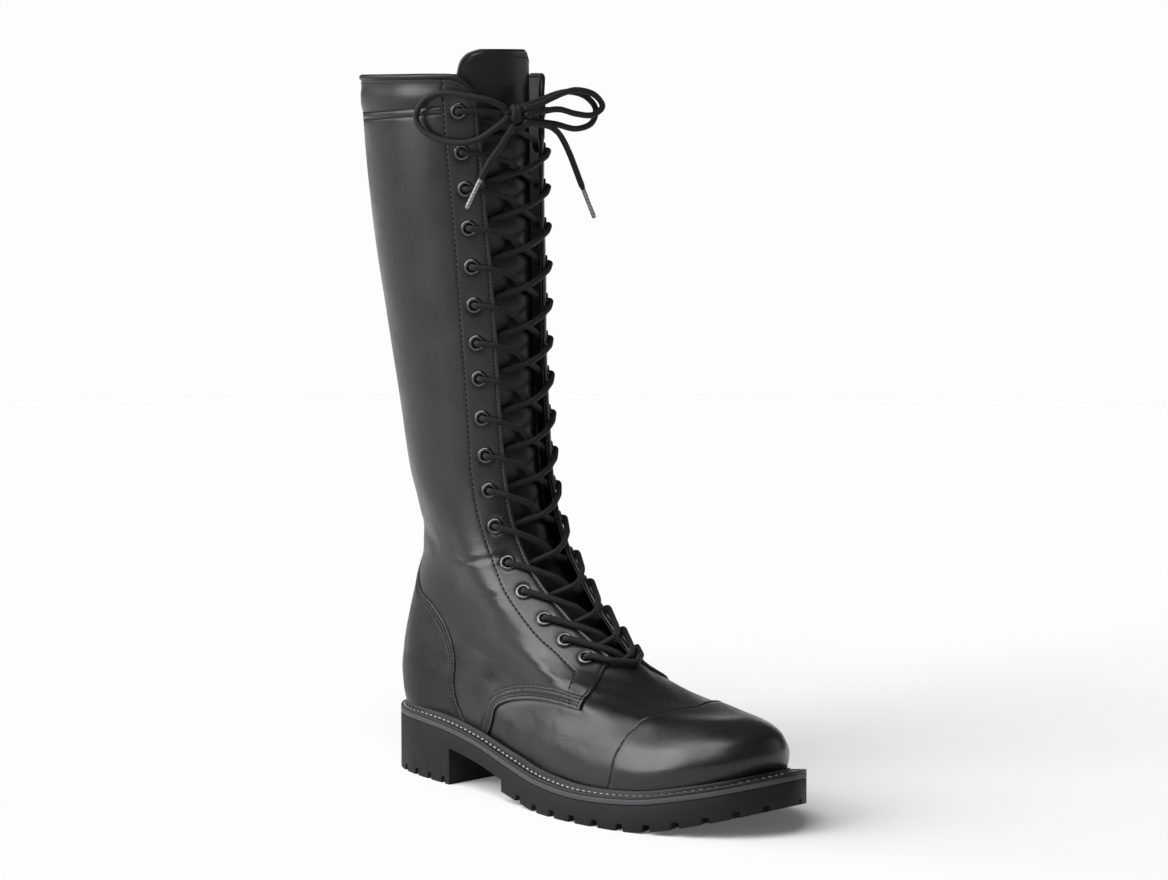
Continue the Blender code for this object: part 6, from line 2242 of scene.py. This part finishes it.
def make_stage():
    """Camera, pale floor, pale surroundings and soft lights."""
    own = bpy.context.scene.boot_stage
    camera = bpy.data.objects.new("boot_camera", bpy.data.cameras.new("boot_camera"))
    camera.location = CAMERA_PLACE
    camera.rotation_euler = (radians(90 - CAMERA_TILT), 0, radians(CAMERA_TURN))
    camera.data.sensor_width = 36
    camera.data.lens = own.lens
    bpy.context.scene.collection.objects.link(camera)
    bpy.context.scene.camera = camera

    floor = ready("cylinder", vertices=96, radius=FLOOR_RADIUS, depth=FLOOR_DEPTH,
                  location=(0, 0, -FLOOR_DEPTH / 2))
    bpy.ops.object.transform_apply()
    floor.name = "stage_floor"
    floor.data.materials.append(floor_finish("pale_stage_floor", own.floor, own.glow))

    world = bpy.data.worlds.new("pale_surroundings")
    world.use_nodes = True
    nodes, links = world.node_tree.nodes, world.node_tree.links
    background = nodes["Background"]
    background.inputs["Color"].default_value = (1, 1, 1, 1)
    direction = nodes.new("ShaderNodeTexCoord").outputs["Generated"]
    lean = nodes.new("ShaderNodeVectorMath")
    lean.operation = "DOT_PRODUCT"
    lean.inputs[1].default_value = PALE_DIRECTION
    links.new(direction, lean.inputs[0])
    height = nodes.new("ShaderNodeSeparateXYZ")
    links.new(direction, height.inputs[0])
    shades = []
    for value, ends in ((lean.outputs["Value"], PALE_LEAN), (height.outputs["Z"], PALE_HEIGHT)):
        shade = nodes.new("ShaderNodeMapRange")
        shade.interpolation_type = "SMOOTHSTEP"
        links.new(value, shade.inputs[0])
        for number, setting in enumerate((*ends, own.dark_side, own.surroundings), start=1):
            shade.inputs[number].default_value = setting
        shades.append(shade.outputs[0])
    brighter = nodes.new("ShaderNodeMath")
    brighter.operation = "MAXIMUM"
    for number, shade in enumerate(shades):
        links.new(shade, brighter.inputs[number])
    links.new(brighter.outputs[0], background.inputs["Strength"])
    bpy.context.scene.world = world
    bpy.context.scene.view_settings.view_transform = "Standard"

    for name, towards, setting, spread in LIGHTS:
        softbox(name, towards, getattr(own, setting), spread)


# ---------------------------------------------------------------- settings and operators
def colour(name, description, default):
    return FloatVectorProperty(name=name, description=description, subtype="COLOR", size=3,
                               min=0, max=1, default=default)


def size(name, description, default):
    return FloatProperty(name=name, description=description, default=default, min=0,
                         precision=5, subtype="DISTANCE", unit="LENGTH")


class BootColours(PropertyGroup):
    leather: colour("Leather", "Colour of the smooth leather", (0.0044, 0.0044, 0.0050))
    leather_roughness: FloatProperty(name="Leather roughness", description="How matt the leather is",
                                     default=0.34, min=0, max=1, subtype="FACTOR")
    # The tongue's colour is darker than the leather's as painted shade; the piping and the heel counter
    # share it.
    tongue: colour("Tongue", "Colour of the tongue and the piping", (0.0030, 0.0030, 0.0033))
    edge: colour("Cut edges", "Colour of the leather's cut edges", (0.010, 0.0095, 0.0095))
    lining: colour("Lining", "Colour of the lining and the insole", (0.0045, 0.0045, 0.0048))
    rubber: colour("Outsole", "Colour of the outsole's rubber", (0.0052, 0.0052, 0.0054))
    strip: colour("Strip", "Colour of the strip above the outsole", (0.045, 0.045, 0.048))
    welt: colour("Welt", "Colour of the welt", (0.010, 0.010, 0.0105))
    thread: colour("Thread", "Colour of the leather's stitches", (0.0022, 0.0022, 0.0024))
    welt_thread: colour("Welt thread", "Colour of the welt's stitches", (0.30, 0.29, 0.27))
    lace: colour("Lace", "Colour of the lace", (0.0030, 0.0030, 0.0032))
    tip: colour("Lace tips", "Colour of the lace's tips", (0.16, 0.16, 0.165))
    gunmetal: colour("Eyelets", "Colour of the eyelets", (0.10, 0.10, 0.105))
    steel: colour("Zip", "Colour of the zip's metal", (0.60, 0.60, 0.60))
    tape: colour("Zip tape", "Colour of the zip's tape", (0.012, 0.012, 0.013))


class BootSizes(PropertyGroup):
    lace: size("Lace", "Diameter of the lace", 0.0036)
    thread: size("Thread", "Radius of the leather's stitches", 0.00036)
    pitch: size("Stitch pitch", "Distance between the eyelet stay's stitches", 0.0031)
    welt_pitch: size("Welt stitch pitch", "Distance between the welt's stitches", 0.0045)
    piping: size("Piping", "Radius of the collar's rolled binding", 0.0018)


class BootStage(PropertyGroup):
    lens: FloatProperty(name="Lens", description="Focal length of the camera", default=107.88,
                        min=1, subtype="DISTANCE_CAMERA", unit="CAMERA")
    floor: colour("Floor", "Colour of the floor", (0.62, 0.62, 0.62))
    surroundings: FloatProperty(name="Surroundings", description="Strength of the pale surroundings",
                                default=0.98, min=0)
    dark_side: FloatProperty(name="Dark side", description="Strength of the surroundings elsewhere",
                             default=0.10, min=0)
    glow: FloatProperty(name="Floor glow", description="Light that comes up through the floor",
                        default=0.095, min=0)
    key: FloatProperty(name="Key light", description="Strength of the main light", default=3.0, min=0)
    side: FloatProperty(name="Side light", description="Strength of the light on the shaft's side",
                        default=1.2, min=0)
    high: FloatProperty(name="High light", description="Strength of the light on the instep",
                        default=2.9, min=0)
    fill: FloatProperty(name="Toe light", description="Strength of the light on the toe", default=0.12,
                        min=0)


class MakingStep:
    """What every step does: it runs its makers one after another."""
    makers = ()

    def execute(self, context):
        for make in self.makers:
            make()
        return {"FINISHED"}


class BOOT_OT_stage(MakingStep, Operator):
    """Set up the camera, the floor and the lights"""
    bl_idname = "boot.stage"
    bl_label = "Stage"
    makers = (make_stage,)


class BOOT_OT_bow(MakingStep, Operator):
    """Make the bow's loops, ends, tips and knot"""
    bl_idname = "boot.bow"
    bl_label = "Bow"
    makers = (make_cords, make_knot)


class BOOT_OT_lacing(MakingStep, Operator):
    """Make the eyelets and the lace through them"""
    bl_idname = "boot.lacing"
    bl_label = "Eyelets and lacing"
    makers = (make_lacing, make_eyelets)


class BOOT_OT_upper(MakingStep, Operator):
    """Make the leather panels, the lining and the collar's piping"""
    bl_idname = "boot.upper"
    bl_label = "Leather upper"
    makers = (make_quarters, make_vamp, make_toe_cap, make_counter, make_lining, make_piping)


class BOOT_OT_stitches(MakingStep, Operator):
    """Sew the leather's rows of stitches"""
    bl_idname = "boot.stitches"
    bl_label = "Stitches"
    makers = (make_stitches,)


class BOOT_OT_tongue(MakingStep, Operator):
    """Make the tongue"""
    bl_idname = "boot.tongue"
    bl_label = "Tongue"
    makers = (make_tongue,)


class BOOT_OT_sole(MakingStep, Operator):
    """Make the outsole, the strip and the welt, and finish the insole"""
    bl_idname = "boot.sole"
    bl_label = "Sole"
    makers = (make_outsole, make_midsole, make_welt, finish_insole)


class BOOT_OT_zip(MakingStep, Operator):
    """Make the zip's tapes, teeth, slider and pull"""
    bl_idname = "boot.zip"
    bl_label = "Zip"
    makers = (make_tape, make_teeth, make_slider)


STEPS = (BOOT_OT_stage, BOOT_OT_bow, BOOT_OT_lacing, BOOT_OT_upper, BOOT_OT_stitches, BOOT_OT_tongue,
         BOOT_OT_sole, BOOT_OT_zip)


class BOOT_PT_panel(Panel):
    """The boot's pieces, sizes and colours"""
    bl_idname = "BOOT_PT_panel"
    bl_label = "Boot"
    bl_space_type = "VIEW_3D"
    bl_region_type = "UI"
    bl_category = "Boot"

    def draw(self, context):
        for step in STEPS:
            self.layout.operator(step.bl_idname)
        for group in (context.scene.boot_sizes, context.scene.boot_colours, context.scene.boot_stage):
            box = self.layout.box()
            for name in group.bl_rna.properties.keys():
                if name not in ("rna_type", "name"):
                    box.prop(group, name)


CLASSES = (BootColours, BootSizes, BootStage, *STEPS, BOOT_PT_panel)


def register():
    for kind in CLASSES:
        bpy.utils.register_class(kind)
    bpy.types.Scene.boot_colours = PointerProperty(type=BootColours)
    bpy.types.Scene.boot_sizes = PointerProperty(type=BootSizes)
    bpy.types.Scene.boot_stage = PointerProperty(type=BootStage)


def unregister():
    del bpy.types.Scene.boot_stage
    del bpy.types.Scene.boot_sizes
    del bpy.types.Scene.boot_colours
    for kind in reversed(CLASSES):
        bpy.utils.unregister_class(kind)


def main():
    register()
    for step in STEPS:
        group, name = step.bl_idname.split(".")
        getattr(getattr(bpy.ops, group), name)()


if __name__ == "__main__":
    main()
